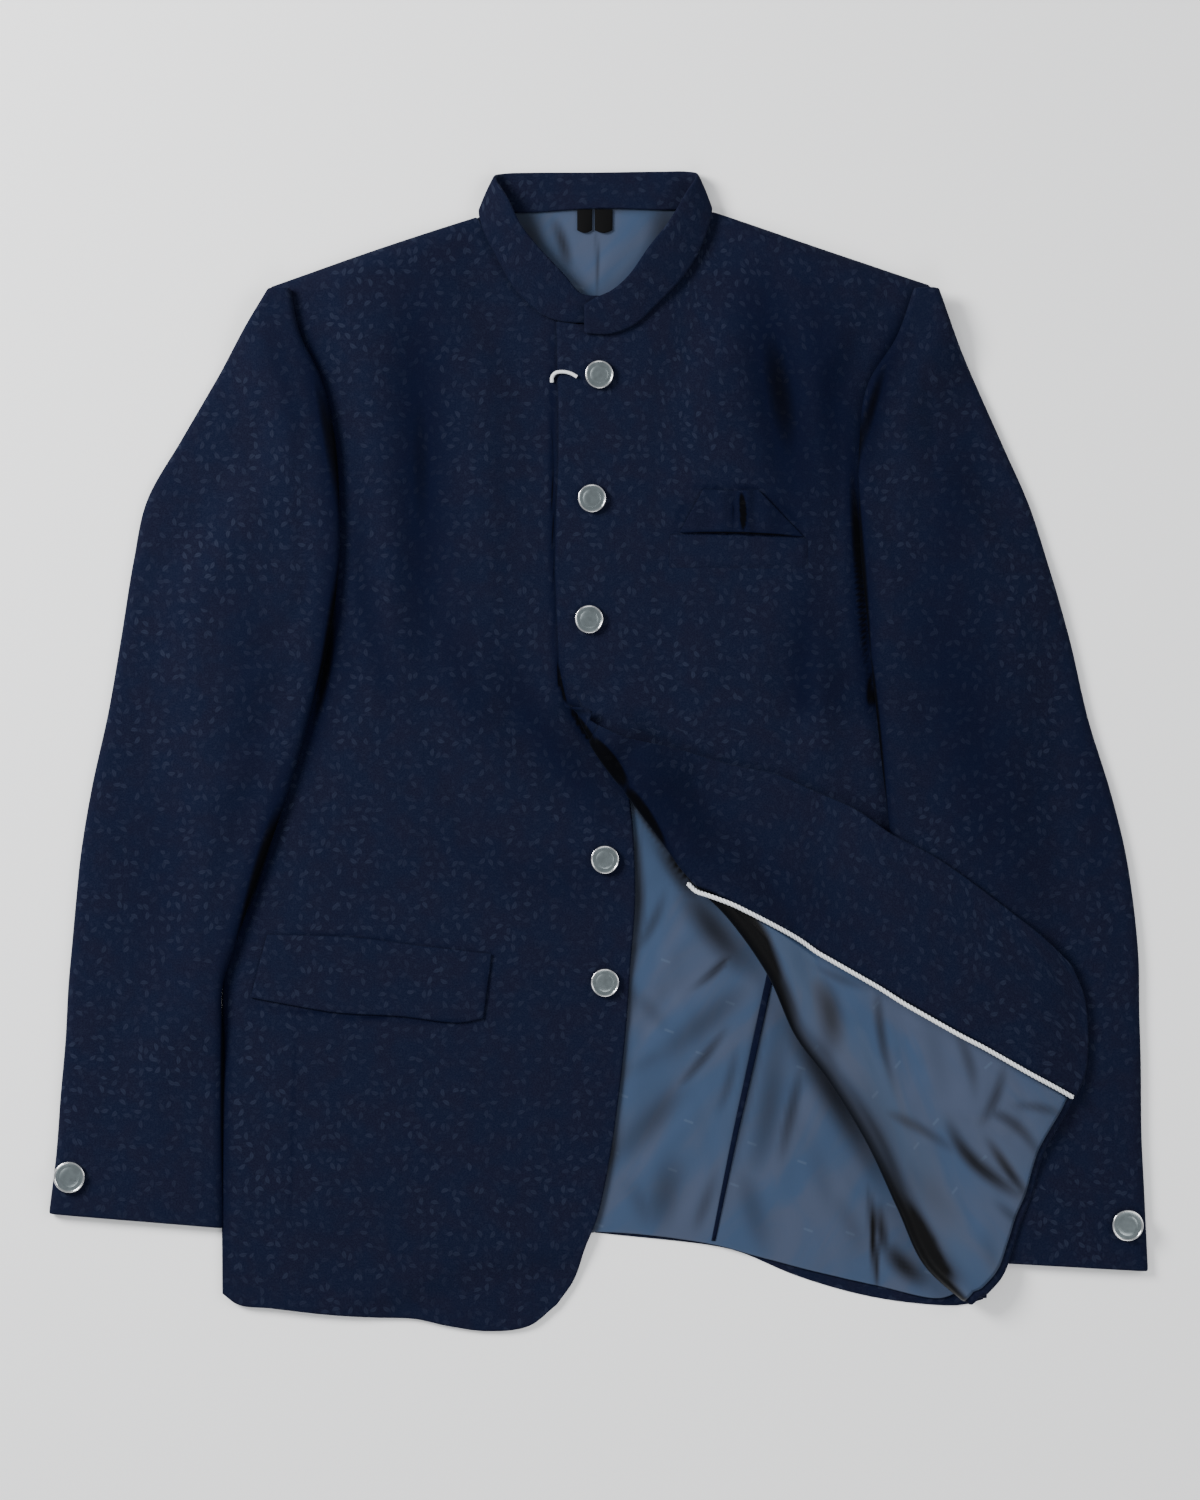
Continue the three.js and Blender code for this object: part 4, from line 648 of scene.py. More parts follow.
def front_top(hand, x, y, fine=False):
    """Upper face of the body under the wearer's right or left front."""
    shoulder = SHOULDERS[hand]
    seam_y = read(shoulder, "x", x, "y")
    beyond_neck = x > shoulder["x"][-1] if hand == RIGHT else x < shoulder["x"][0]
    to_shoulder = np.where(beyond_neck, EDGE_ROUND, seam_y - y)
    to_side = (body_side(hand, y) - x) * hand
    padding = SHOULDER_RISE * smoothstep(y, *PAD_ALONG) * smoothstep(np.abs(x), *PAD_ACROSS)
    from_sleeve = (read(SLEEVES[hand], "y", y, "inner") - x) * hand
    lap_line = mix(*RIGHT_LAP, smoothstep(-y, *RIGHT_LAP_ALONG)) if hand == RIGHT else LEFT_LAP
    from_lap = (x - lap_line) * hand
    under_turn, lap, button = 0, 0, 0
    if hand == LEFT:
        under_turn = smoothstep(read(TURNED_EDGE, "x", x, "y") - y, *UNDER_TURN)
        lap = LAP_RISE * (1 - smoothstep(x, *LAP_FADE))
        button = button_lift(x, y)
    from_neck = smoothstep(np.hypot(x, y - NECK_Y), *NECK_CLEAR)
    open_share = (smoothstep(from_sleeve, *SLEEVE_CLEAR) * smoothstep(from_lap, *LAP_CLEAR)
                  * (1 - under_turn) * from_neck)
    relief = open_share * (CHEST_RISE * smoothstep(y, *CHEST_ALONG) + CHEST_LEVEL + folds(FOLDS[hand], x, y))
    if fine:
        near_open = smoothstep(from_sleeve, *SLEEVE_CLEAR_FINE) * (1 - under_turn)
        relief = relief + near_open * creases(CREASES[hand], x, y)
        relief = relief + near_open * (FRONT_LIFT + ripple(x, y, *FRONT_WAVE))
    inside = FRONT_TOP + padding + relief + lap + button
    return mix(FRONT_EDGE_TOP, inside, rounding(np.minimum(to_shoulder, to_side), EDGE_ROUND))


def hem_drop(x, y):
    """How far the right front hangs down where it passes the back's hem."""
    return HEM_DROP * smoothstep(read(BACK_HEM, "x", x, "y") - y, *HEM_DROP_REACH)


def right_height(x, y):
    """Upper face of the right front with its fine creases."""
    return front_top(RIGHT, x, y, fine=True) - hem_drop(x, y)


def left_height(x, y):
    """Upper face of the left front with its fine creases."""
    return front_top(LEFT, x, y, fine=True)


def sleeve_base(hand, x, y):
    """Underside of a sleeve: on the body beside its armhole, on the surface further out."""
    padded = SHOULDER_RISE * smoothstep(y, *PAD_ALONG)
    outside = (x - body_side(hand, y)) * hand
    ramp = 1 - smoothstep(outside, SLEEVE_RAMP_START, SLEEVE_RAMP_END)
    return smoothstep(y, *SLEEVE_ON_BODY[hand]) * (FRONT_TOP + LAY_GAP + padded) * ramp


def sleeve_height(y):
    """Thickness of the laid-out sleeve."""
    return mix(SLEEVE_HEIGHT, SLEEVE_HEAD_HEIGHT, smoothstep(y, *SLEEVE_HEAD_THIN))


def sleeve_reach(y):
    """How far a sleeve's folded edge reaches in before it is flat."""
    return mix(SLEEVE_FOLD_REACH, SLEEVE_HEAD_REACH, smoothstep(y, *SLEEVE_HEAD_TIGHT))


def sleeve_top(hand, x, y):
    """Upper face of a sleeve."""
    rows = SLEEVES[hand]
    inner = (x - read(rows, "y", y, "inner")) * hand
    outer = (read(rows, "y", y, "outer") - x) * hand
    away = np.minimum(inner, outer)
    relief = folds(SLEEVE_FOLDS, x, y) * smoothstep(away, *SLEEVE_FOLDS_CLEAR)
    top = sleeve_base(hand, x, y) + sleeve_height(y) / 2 * (1 + rounding(away, sleeve_reach(y))) + relief
    return np.where(away < 0, 0, top)


class Cover:
    """Height of what the turned-back front lies on, spanned as taut cloth spans a step."""

    def __init__(self, low=COVER_LOW, high=COVER_HIGH, step=COVER_STEP):
        self.low, self.step = np.array(low), step
        self.count = ((np.array(high) - self.low) / step).astype(int) + 1
        xs = low[0] + step * np.arange(self.count[0])
        ys = low[1] + step * np.arange(self.count[1])
        x, y = np.meshgrid(xs, ys)
        body = np.where(x < body_side(LEFT, y), front_top(LEFT, x, y), 0)
        base = np.maximum(body, sleeve_top(LEFT, x, y))
        tall = np.zeros_like(base)
        reach = int(COVER_REACH / step)
        for row in (-int(COVER_FLAT / step), 0, int(COVER_FLAT / step)):
            for column in range(-reach, reach + 1):
                fall = COVER_SLOPE * max(abs(column) * step - COVER_FLAT, 0)
                tall = np.maximum(tall, np.roll(base, (row, column), (0, 1)) - fall)
        for _ in range(COVER_ROUNDS):
            tall = (tall + np.roll(tall, 1, 0) + np.roll(tall, -1, 0)
                    + np.roll(tall, 1, 1) + np.roll(tall, -1, 1)) / 5
        self.tall = tall

    def at(self, x, y):
        """Height at plan points."""
        column = np.clip((x - self.low[0]) / self.step, 0, self.count[0] - INSIDE_GRID)
        row = np.clip((y - self.low[1]) / self.step, 0, self.count[1] - INSIDE_GRID)
        i, j = column.astype(int), row.astype(int)
        u, v = column - i, row - j
        return (self.tall[j, i] * (1 - u) * (1 - v) + self.tall[j, i + 1] * u * (1 - v)
                + self.tall[j + 1, i] * (1 - u) * v + self.tall[j + 1, i + 1] * u * v)


cover = Cover()


# Grids of cloth

def edged(length, step=CLOTH_STEP):
    """Shares of a length, closely spaced at both ends so that an edge is round."""
    start = [d / length for d in EDGE_STEPS]
    middle = np.linspace(start[-1], 1 - start[-1], max(int(length / step), 2) + 1)[1:-1]
    return np.array(start + list(middle) + [1 - d for d in reversed(start)])


def patch(bottom, top, left, right, us, vs):
    """Plan grid inside four curves: bottom and top run left to right, left and right run upwards."""
    u, v = us[None, :, None] * np.ones((len(vs), 1, 1)), vs[:, None, None] * np.ones((1, len(us), 1))
    below, above = bottom(u[..., 0]), top(u[..., 0])
    near, far = left(v[..., 0]), right(v[..., 0])
    return (below * (1 - v) + above * v + near * (1 - u) + far * u
            - bottom(0.0) * (1 - u) * (1 - v) - bottom(1.0) * u * (1 - v)
            - top(0.0) * (1 - u) * v - top(1.0) * u * v)


def raised(plan, height):
    """A plan grid with its height."""
    return np.concatenate([plan[..., :2], np.broadcast_to(height, plan.shape[:2])[..., None]], axis=-1)


def grid_normals(grid):
    """Unit normals of a grid of points."""
    across = np.gradient(grid, axis=1)
    along = np.gradient(grid, axis=0)
    normal = np.cross(across, along)
    return normal / np.maximum(np.linalg.norm(normal, axis=-1, keepdims=True), TINY)


def edge_distance(grid):
    """Distance of each grid point from the nearest edge, measured on the cloth."""
    across = np.linalg.norm(np.diff(grid, axis=1), axis=-1)
    along = np.linalg.norm(np.diff(grid, axis=0), axis=-1)
    left = np.pad(np.cumsum(across, axis=1), ((0, 0), (1, 0)))
    low = np.pad(np.cumsum(along, axis=0), ((1, 0), (0, 0)))
    return np.minimum(np.minimum(left, left[:, -1:] - left), np.minimum(low, low[-1:] - low))


def run_across(grid):
    """Length along each row of a grid."""
    return np.pad(np.cumsum(np.linalg.norm(np.diff(grid, axis=1), axis=-1), axis=1), ((0, 0), (1, 0)))


def new_piece(name, points, faces, uvs=None, shade=None, material=None, smooth=True):
    """A mesh object at the origin, from points in millimetres."""
    mesh = bpy.data.meshes.new(name)
    mesh.from_pydata((np.asarray(points) * MM).tolist(), [], [list(f) for f in faces])
    if uvs is not None:
        layer = mesh.uv_layers.new(name="cloth")
        corner = np.zeros(len(mesh.loops), np.int32)
        mesh.loops.foreach_get("vertex_index", corner)
        layer.data.foreach_set("uv", (np.asarray(uvs)[corner] * MM).astype(np.float32).ravel())
    if shade is not None:
        attribute = mesh.attributes.new("shade", "FLOAT", "POINT")
        attribute.data.foreach_set("value", np.asarray(shade, np.float32))
    if smooth:
        mesh.polygons.foreach_set("use_smooth", np.ones(len(mesh.polygons), bool))
    mesh.validate()
    mesh.update()
    piece = bpy.data.objects.new(name, mesh)
    bpy.context.scene.collection.objects.link(piece)
    if material:
        mesh.materials.append(material)
    return piece


def cloth(name, middle, wall, uv, material, keep=None, shade=None, flip=False):
    """A sheet of cloth with rounded edges, on both sides of a grid of middle points."""
    rows, columns = middle.shape[:2]
    kept = np.ones((rows - 1, columns - 1), bool) if keep is None else keep
    normal = grid_normals(middle) * (-1 if flip else 1)
    around = np.pad(kept, 1).astype(int)
    used = around[:-1, :-1] + around[1:, :-1] + around[:-1, 1:] + around[1:, 1:]
    inner = used == 4
    if keep is None:
        full = rounding(edge_distance(middle), EDGE_STEPS[-1])
    else:
        full = inner.astype(float)
    half = (wall / 2 * full * inner)[..., None]
    upper, lower = middle + normal * half, middle - normal * half
    number = np.full((2, rows, columns), -1)
    shown = used > 0
    number[0][shown] = np.arange(shown.sum())
    under = shown & inner
    number[1][under] = shown.sum() + np.arange(under.sum())
    number[1][shown & ~inner] = number[0][shown & ~inner]
    points = np.vstack([upper[shown], lower[under]])
    j, i = np.nonzero(kept)
    top = np.stack([number[0][j, i], number[0][j, i + 1], number[0][j + 1, i + 1], number[0][j + 1, i]], 1)
    base = np.stack([number[1][j, i], number[1][j + 1, i], number[1][j + 1, i + 1], number[1][j, i + 1]], 1)
    faces = np.vstack([top, base])
    if flip:
        faces = faces[:, ::-1]
    uvs = np.vstack([uv[shown], uv[under]])
    shade_depth = None if shade is None else np.concatenate([shade[shown], shade[under]])
    return new_piece(name, points, faces, uvs, shade_depth, material)


def finish(piece, slot, *nodes, sheet=None, held="laid", rests_on=(), area=None):
    """Puts a piece on the jacket's body, in place of its solids."""
    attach(piece, BODY)
    if nodes:
        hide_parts(*nodes)


def cut_of(middle):
    """Width, length and area of a flat cut, in metres, from the grid that it lies in."""
    across = np.linalg.norm(np.diff(middle, axis=1), axis=-1)
    along = np.linalg.norm(np.diff(middle, axis=0), axis=-1)
    a = np.diff(middle[:-1], axis=1)
    b = np.diff(middle, axis=0)[:, :-1]
    area = np.linalg.norm(np.cross(a, b), axis=-1).sum() * MM * MM
    width, length = across.sum(axis=1).max() * MM, along.sum(axis=0).max() * MM
    return (float(width), float(length)), float(min(area, width * length * 0.999))


# Left front: flat on the chest, then rolled and turned back

fold_curve = curve(stack(FOLD_LINE))
turned_edge = curve(stack(TURNED_EDGE))
turned_hem = curve(stack(TURNED_HEM))


class TurnedRows:
    """Rows of the turned-back front, one for each share of the fold line."""

    def __init__(self, shares):
        self.share = s = np.asarray(shares, float)
        ahead = fold_curve(s + FOLD_AHEAD) - fold_curve(s - FOLD_AHEAD)
        self.fold = ahead / np.linalg.norm(ahead, axis=1, keepdims=True)
        self.out = np.stack([self.fold[:, 1], -self.fold[:, 0]], axis=-1)
        self.radius = mix(ROLL_START_RADIUS, ROLL_RADIUS, smoothstep(s, *ROLL_GROWN))
        inset = mix(CURL_STRIP, self.radius + SKIN, smoothstep(s, 0, CURL_SHARE))
        self.axis = fold_curve(s) - self.out * inset[:, None]
        self.across = np.maximum(-self.out[:, 0], LEAST_ACROSS)
        self.along = -self.fold[:, 0] * (1 - smoothstep(s, HEM_SQUARE, 1))
        self.curl = np.pi * smoothstep(s, 0, CURL_SHARE)
        self.curled = self.curl * self.radius / self.across
        self.lifted = ROLL_LIFT * smoothstep(s, *ROLL_LIFTED)
        side = side_at(LEFT, self.axis[:, 1])
        beside = np.minimum(self.axis[:, 0], side - EDGE_ROUND)
        self.low = front_top(LEFT, beside, self.axis[:, 1]) + self.lifted - SHELL_WALL / 2
        self.roll = np.pi * self.radius / self.across
        self.crest = self.axis + self.fold * (self.along * self.roll)[:, None]
        self.target = turned_edge(s)
        at_curl = np.linalg.norm(fold_curve(CURL_SHARE) - turned_edge(CURL_SHARE))
        full_at_curl = np.pi * ROLL_START_RADIUS / self.across + at_curl
        self.full = np.where(
            s < CURL_SHARE,
            mix(CURL_STRIP / self.across, full_at_curl, s / CURL_SHARE),
            self.roll + np.linalg.norm(self.crest - self.target, axis=1))
        self.side_x = np.maximum(side, self.axis[:, 0] + SIDE_ROOM)
        self.flat = self.full - np.minimum(self.curled, self.full * CURL_MOST)
        self.seam = self.slit()

    def slit(self):
        """Distance of the facing's inner edge from the free edge, on the piping's straight line."""
        outermost = self.full - self.radius * np.pi / 2 / self.across
        tried = np.linspace(*SLIT_TRIED)[None, :] * outermost[:, None]
        spot = self.points(tried)
        (x0, y0), (x1, y1) = stack(PIPING_LINE)
        below = (spot[..., 0] - x0) * (y1 - y0) - (spot[..., 1] - y0) * (x1 - x0)
        after = np.clip(np.argmax(below > 0, axis=1), 1, None)
        row = np.arange(len(after))
        before_side, after_side = below[row, after - 1], below[row, after]
        share = np.clip(before_side / (before_side - after_side), 0, 1)
        found = mix(tried[row, after - 1], tried[row, after], share)
        return np.where((below > 0).any(axis=1), found, outermost)

    def points(self, from_edge):
        """Middle of the shell at distances from the free edge, a row of them for each share."""
        col = {name: getattr(self, name)[:, None] for name in
               ("share", "radius", "across", "along", "curl", "curled", "lifted", "low", "roll",
                "full", "side_x")}
        beyond = col["full"] - from_edge
        level_x = np.minimum(self.axis[:, :1] - beyond, col["side_x"])
        level_y = np.broadcast_to(self.axis[:, 1:], beyond.shape)
        near = 1 - smoothstep(level_x - self.axis[:, :1], 0, ROLL_LIFT_REACH)
        side = side_at(LEFT, level_y)
        top = front_top(LEFT, np.minimum(level_x, side), level_y)
        inside = top + col["lifted"] * near - SHELL_WALL / 2
        narrow = col["side_x"] - self.axis[:, :1] < 2 * EDGE_ROUND
        level_z = np.where(narrow, mix(inside, col["low"], near), inside)
        turn = np.minimum(beyond * col["across"] / col["radius"], col["curl"])
        rest = np.maximum(beyond - col["curled"], 0)
        swing = col["radius"] * np.sin(turn) + col["across"] * np.cos(turn) * rest
        xy = (self.axis[:, None, :] + self.out[:, None, :] * swing[..., None]
              + self.fold[:, None, :] * (col["along"] * beyond)[..., None])
        z = col["low"] + col["radius"] * (1 - np.cos(turn)) + col["across"] * np.sin(turn) * rest
        part = np.clip(rest / np.maximum(col["full"] - col["roll"], 1), 0, 1)
        straight = mix(self.crest[:, None, :], self.target[:, None, :], part[..., None])
        ends = mix(np.array(HEM_CREST), turned_hem(1.0), part[..., None])
        hem = (turned_hem(part) - ends) * smoothstep(rest, 0, HEM_CREST_REACH)[..., None]
        straight = straight + hem * (smoothstep(col["share"], *HEM_TURN) ** 2)[..., None]
        settled = smoothstep(col["share"], CURL_SHARE, CURL_SHARE * 2)
        spot = mix(xy, straight, settled[..., None])
        resting = cover.at(spot[..., 0], spot[..., 1]) + LAY_GAP + SHELL_WALL / 2
        crest_z = col["low"] + 2 * col["radius"]
        laid_z = resting + np.maximum(crest_z - resting, 0) * (1 - smoothstep(rest, 0, ROLL_SETTLE))
        laid = (rest > 0) & (col["share"] >= CURL_SHARE)
        xy = np.where(laid[..., None], spot, xy)
        z = np.where(laid, laid_z, z)
        lower = beyond <= 0
        x = np.where(lower, level_x, xy[..., 0])
        y = np.where(lower, level_y, xy[..., 1])
        return np.stack([x, y, np.where(lower, level_z, z)], axis=-1)


def turned_samples(rows):
    """Distances from the free edge at which each turned row is sampled."""
    parts = []
    lower = rows.side_x - rows.axis[:, 0]
    for i in range(LOWER_COLUMNS):
        parts.append(rows.full + lower * (1 - i / LOWER_COLUMNS))
    after_roll = np.maximum(rows.flat, rows.seam + PIPING_SLIT / 2 + SPLIT_ROOM)
    split = np.minimum(after_roll, rows.full * SPLIT_MOST)
    for i in range(ROLL_COLUMNS):
        parts.append(mix(rows.full, split, i / ROLL_COLUMNS))
    for i in range(LINING_COLUMNS + 1):
        parts.append(mix(split, rows.seam + PIPING_SLIT / 2, i / LINING_COLUMNS))
    for i in range(FACING_COLUMNS + 1):
        share = 1 - (1 - i / FACING_COLUMNS) ** EDGE_CROWD
        parts.append(mix(rows.seam - PIPING_SLIT / 2, 0, share))
    return np.stack(parts, axis=1)


def left_front_grid():
    """Middle of the left front's shell, its cloth coordinates and the share of each row."""
    rows = TurnedRows(TURNED_SHARES)
    samples = turned_samples(rows)
    turned = rows.points(samples)
    first = turned[0]
    side_end, edge_end = first[0], first[-1]
    gathered = (first[:, 0] - side_end[0]) / (edge_end[0] - side_end[0])
    vs = np.concatenate([np.linspace(0, 1, CHEST_ROWS - 3)[:-1], CHEST_LAST_ROWS])
    even = np.linspace(0, 1, FRONT_COLUMNS + 1)
    side = curve(np.vstack([side_end[:2], stack(LEFT_SIDE)[CHEST_SIDE_FROM:]]))
    edge = curve(np.vstack([edge_end[:2], stack(LEFT_EDGE)[1:]]))
    top = joined(curve(stack(LEFT_NECK)), curve(stack(LEFT_SHOULDER)), NECK_SHARE)
    share = mix(gathered[None, :], even[None, :], smoothstep(vs, 0, GATHER_END)[:, None])
    v = vs[:, None, None]
    u = share[..., None]
    below = np.stack([mix(side_end[0], edge_end[0], share), np.full(share.shape, side_end[1])], -1)
    above = top(1 - share)
    near, far = side(vs)[:, None, :], edge(vs)[:, None, :]
    plan = (below * (1 - v) + above * v + near * (1 - u) + far * u
            - side_end[:2] * (1 - u) * (1 - v) - edge_end[:2] * u * (1 - v)
            - top(1.0) * (1 - u) * v - top(0.0) * u * v)
    x, y = plan[..., 0], plan[..., 1]
    fine = smoothstep(vs, 0, CHEST_FINE_FROM)[:, None]
    plain, creased = front_top(LEFT, x, y) - SHELL_WALL / 2, left_height(x, y) - SHELL_WALL / 2
    chest = raised(plan, mix(plain, creased, fine))
    grid = np.concatenate([chest[1:][::-1], turned])
    run = run_across(grid)
    level = np.concatenate([plan[1:, :, 1][::-1], np.broadcast_to(rows.axis[:, 1:], turned.shape[:2])])
    uv = np.stack([run - run[:, -1:], level], axis=-1)
    shares = np.concatenate([np.full(len(chest) - 1, -1.0), rows.share])
    past = rows.full[:, None] - samples - rows.curled[:, None]
    past = np.concatenate([np.full((len(chest) - 1, past.shape[1]), BEFORE_ROLL), past])
    curled = np.concatenate([np.ones(len(chest) - 1), rows.curled])
    return grid, uv, shares, past, curled


def shade_at(x, y, turned=None):
    """Depth of painted shade and shadow on the shell cloth, and of its dark seam lines, at plan points."""
    shade_depth = shade_along_lines(FOLD_SHADE_AND_SEAMS, x, y)
    return np.maximum(shade_depth if turned is None else shade_depth * (1 - turned), shade_along_lines(FOLD_START_SHADOW, x, y))


# Materials

# Tones of the cloths that the panel doesn't offer: a greyer wool, the painted shade and shadow tones of the
# wool and the lining, the lining's dashes and the label
GREY_WOOL = (0.0033, 0.0037, 0.0126)
WOOL_SHADE_TONE = (0.0007, 0.0019, 0.0112)
WOOL_SHADOW_TONE = (0.0002, 0.0003, 0.0009)
DASH_TONE = (0.06, 0.085, 0.13)
SATIN_SHADE_TONE = (0.0138, 0.0165, 0.0262)
SATIN_SHADOW_TONE = (0.0003, 0.0003, 0.0006)
LABEL_TONE = (0.0028, 0.0028, 0.0032)
WOOL_TO_SHADOW, SATIN_TO_SHADOW = (0.74, 1.02), (0.5, 0.97)

# Leaves: spacing, length and width in millimetres, then the form of each as shares of its size
LARGE_LEAF, SMALL_LEAF, SMALL_LEAF_SHIFT = (7.6, 6.4, 3.1), (5.6, 4.2, 1.9), (37.3, 91.7, 0)
LEAF_LOOSENESS, LEAF_BEND, LEAF_EDGE, LEAF_VEIN = 1.0, 0.09, (0.72, 1.12), (0.02, 0.26)

# Lining: drift of its tones, painted sheen, in millimetres and degrees, then its dashes as shares of their
# spacing
SHEEN_DRIFT_TURN, SHEEN_DRIFT_SIZE = 52, (110.0, 38.0)
DASH_TURN, DASH_SPACING, DASH_LOOSENESS = 20, 46, 0.55
DASH_LENGTH, DASH_WIDTH = (0.085, 0.06), (0.024, 0.012)
WEAVE_RELIEF, GRAIN_RELIEF, SHEEN_ROUGHNESS = 0.3, 0.1, 0.45


def node(tree, kind, **inputs):
    """A node with its inputs set by name, an underscore for each space."""
    added = tree.nodes.new(kind)
    for name, value in inputs.items():
        added.inputs[name.replace("_", " ")].default_value = value
    return added


def math_node(tree, operation, first, second=None, third=None):
    """A math node fed by sockets or numbers."""
    made = tree.nodes.new("ShaderNodeMath")
    made.operation = operation
    for k, value in enumerate((first, second, third)):
        if value is None:
            continue
        if isinstance(value, (int, float)):
            made.inputs[k].default_value = value
        else:
            tree.links.new(value, made.inputs[k])
    return made.outputs[0]


def ramp(tree, value, low, high):
    """Smoothly from 0 where the value is low to 1 where it is high."""
    made = tree.nodes.new("ShaderNodeMapRange")
    made.interpolation_type = "SMOOTHSTEP"
    made.inputs["From Min"].default_value = low
    made.inputs["From Max"].default_value = high
    tree.links.new(value, made.inputs["Value"])
    return made.outputs["Result"]


def blend_colour(tree, share, first, second):
    """A colour mixed from two sockets or colours."""
    made = tree.nodes.new("ShaderNodeMix")
    made.data_type = "RGBA"
    sockets = (made.inputs[0], made.inputs[6], made.inputs[7])
    for socket, value in zip(sockets, (share, first, second)):
        if isinstance(value, bpy.types.NodeSocket):
            tree.links.new(value, socket)
        elif isinstance(value, (int, float)):
            socket.default_value = value
        else:
            socket.default_value = (*value[:3], 1)
    return made.outputs[2]


def new_group(name, inputs, outputs):
    """An empty shader node group with its sockets."""
    tree = bpy.data.node_groups.new(name, "ShaderNodeTree")
    for way, sockets in (("INPUT", inputs), ("OUTPUT", outputs)):
        for label, kind in sockets:
            tree.interface.new_socket(label, in_out=way, socket_type=kind)
    return tree, tree.nodes.new("NodeGroupInput"), tree.nodes.new("NodeGroupOutput")


VECTOR, FLOAT, COLOUR = "NodeSocketVector", "NodeSocketFloat", "NodeSocketColor"
CLOTH_LOOK = (("Colour", COLOUR), ("Height", FLOAT), ("Roughness", FLOAT))


def scaled(tree, vector, scale):
    """A vector times a number."""
    times = tree.nodes.new("ShaderNodeVectorMath")
    times.operation = "SCALE"
    times.inputs["Scale"].default_value = scale
    tree.links.new(vector, times.inputs[0])
    return times.outputs[0]


def scattered(tree, place, looseness):
    """Scattered cells: the place within each, and each one's own colour."""
    cells = tree.nodes.new("ShaderNodeTexVoronoi")
    cells.voronoi_dimensions = "2D"
    cells.inputs["Scale"].default_value = 1
    cells.inputs["Randomness"].default_value = looseness
    tree.links.new(place, cells.inputs["Vector"])
    local = tree.nodes.new("ShaderNodeVectorMath")
    local.operation = "SUBTRACT"
    tree.links.new(place, local.inputs[0])
    tree.links.new(cells.outputs["Position"], local.inputs[1])
    return local.outputs[0], cells.outputs["Color"]


def leaf_scatter(tree, place, spacing, length, width):
    """Small pointed leaves, one in each cell, each turned its own way. Gives mask and each leaf's random
    share of painted sheen.
    """
    local, own = scattered(tree, scaled(tree, place, 1 / spacing), LEAF_LOOSENESS)
    parts = tree.nodes.new("ShaderNodeSeparateColor")
    tree.links.new(own, parts.inputs[0])
    turned = tree.nodes.new("ShaderNodeVectorRotate")
    turned.rotation_type = "Z_AXIS"
    tree.links.new(local, turned.inputs["Vector"])
    tree.links.new(math_node(tree, "MULTIPLY", parts.outputs[0], 2 * math.pi), turned.inputs["Angle"])
    split = tree.nodes.new("ShaderNodeSeparateXYZ")
    tree.links.new(turned.outputs[0], split.inputs[0])
    along = math_node(tree, "DIVIDE", split.outputs[0], length / spacing / 2)
    bent = math_node(tree, "MULTIPLY_ADD", math_node(tree, "POWER", along, 2.0), LEAF_BEND, split.outputs[1])
    beside = math_node(tree, "DIVIDE", math_node(tree, "ABSOLUTE", bent), width / spacing / 2)
    reach = math_node(tree, "ADD", beside, math_node(tree, "POWER", along, 2.0))
    mask = math_node(tree, "SUBTRACT", 1.0, ramp(tree, reach, *LEAF_EDGE))
    vein = ramp(tree, beside, *LEAF_VEIN)
    mask = math_node(tree, "MULTIPLY", mask, math_node(tree, "MULTIPLY_ADD", vein, 0.45, 0.55))
    return mask, parts.outputs[1]


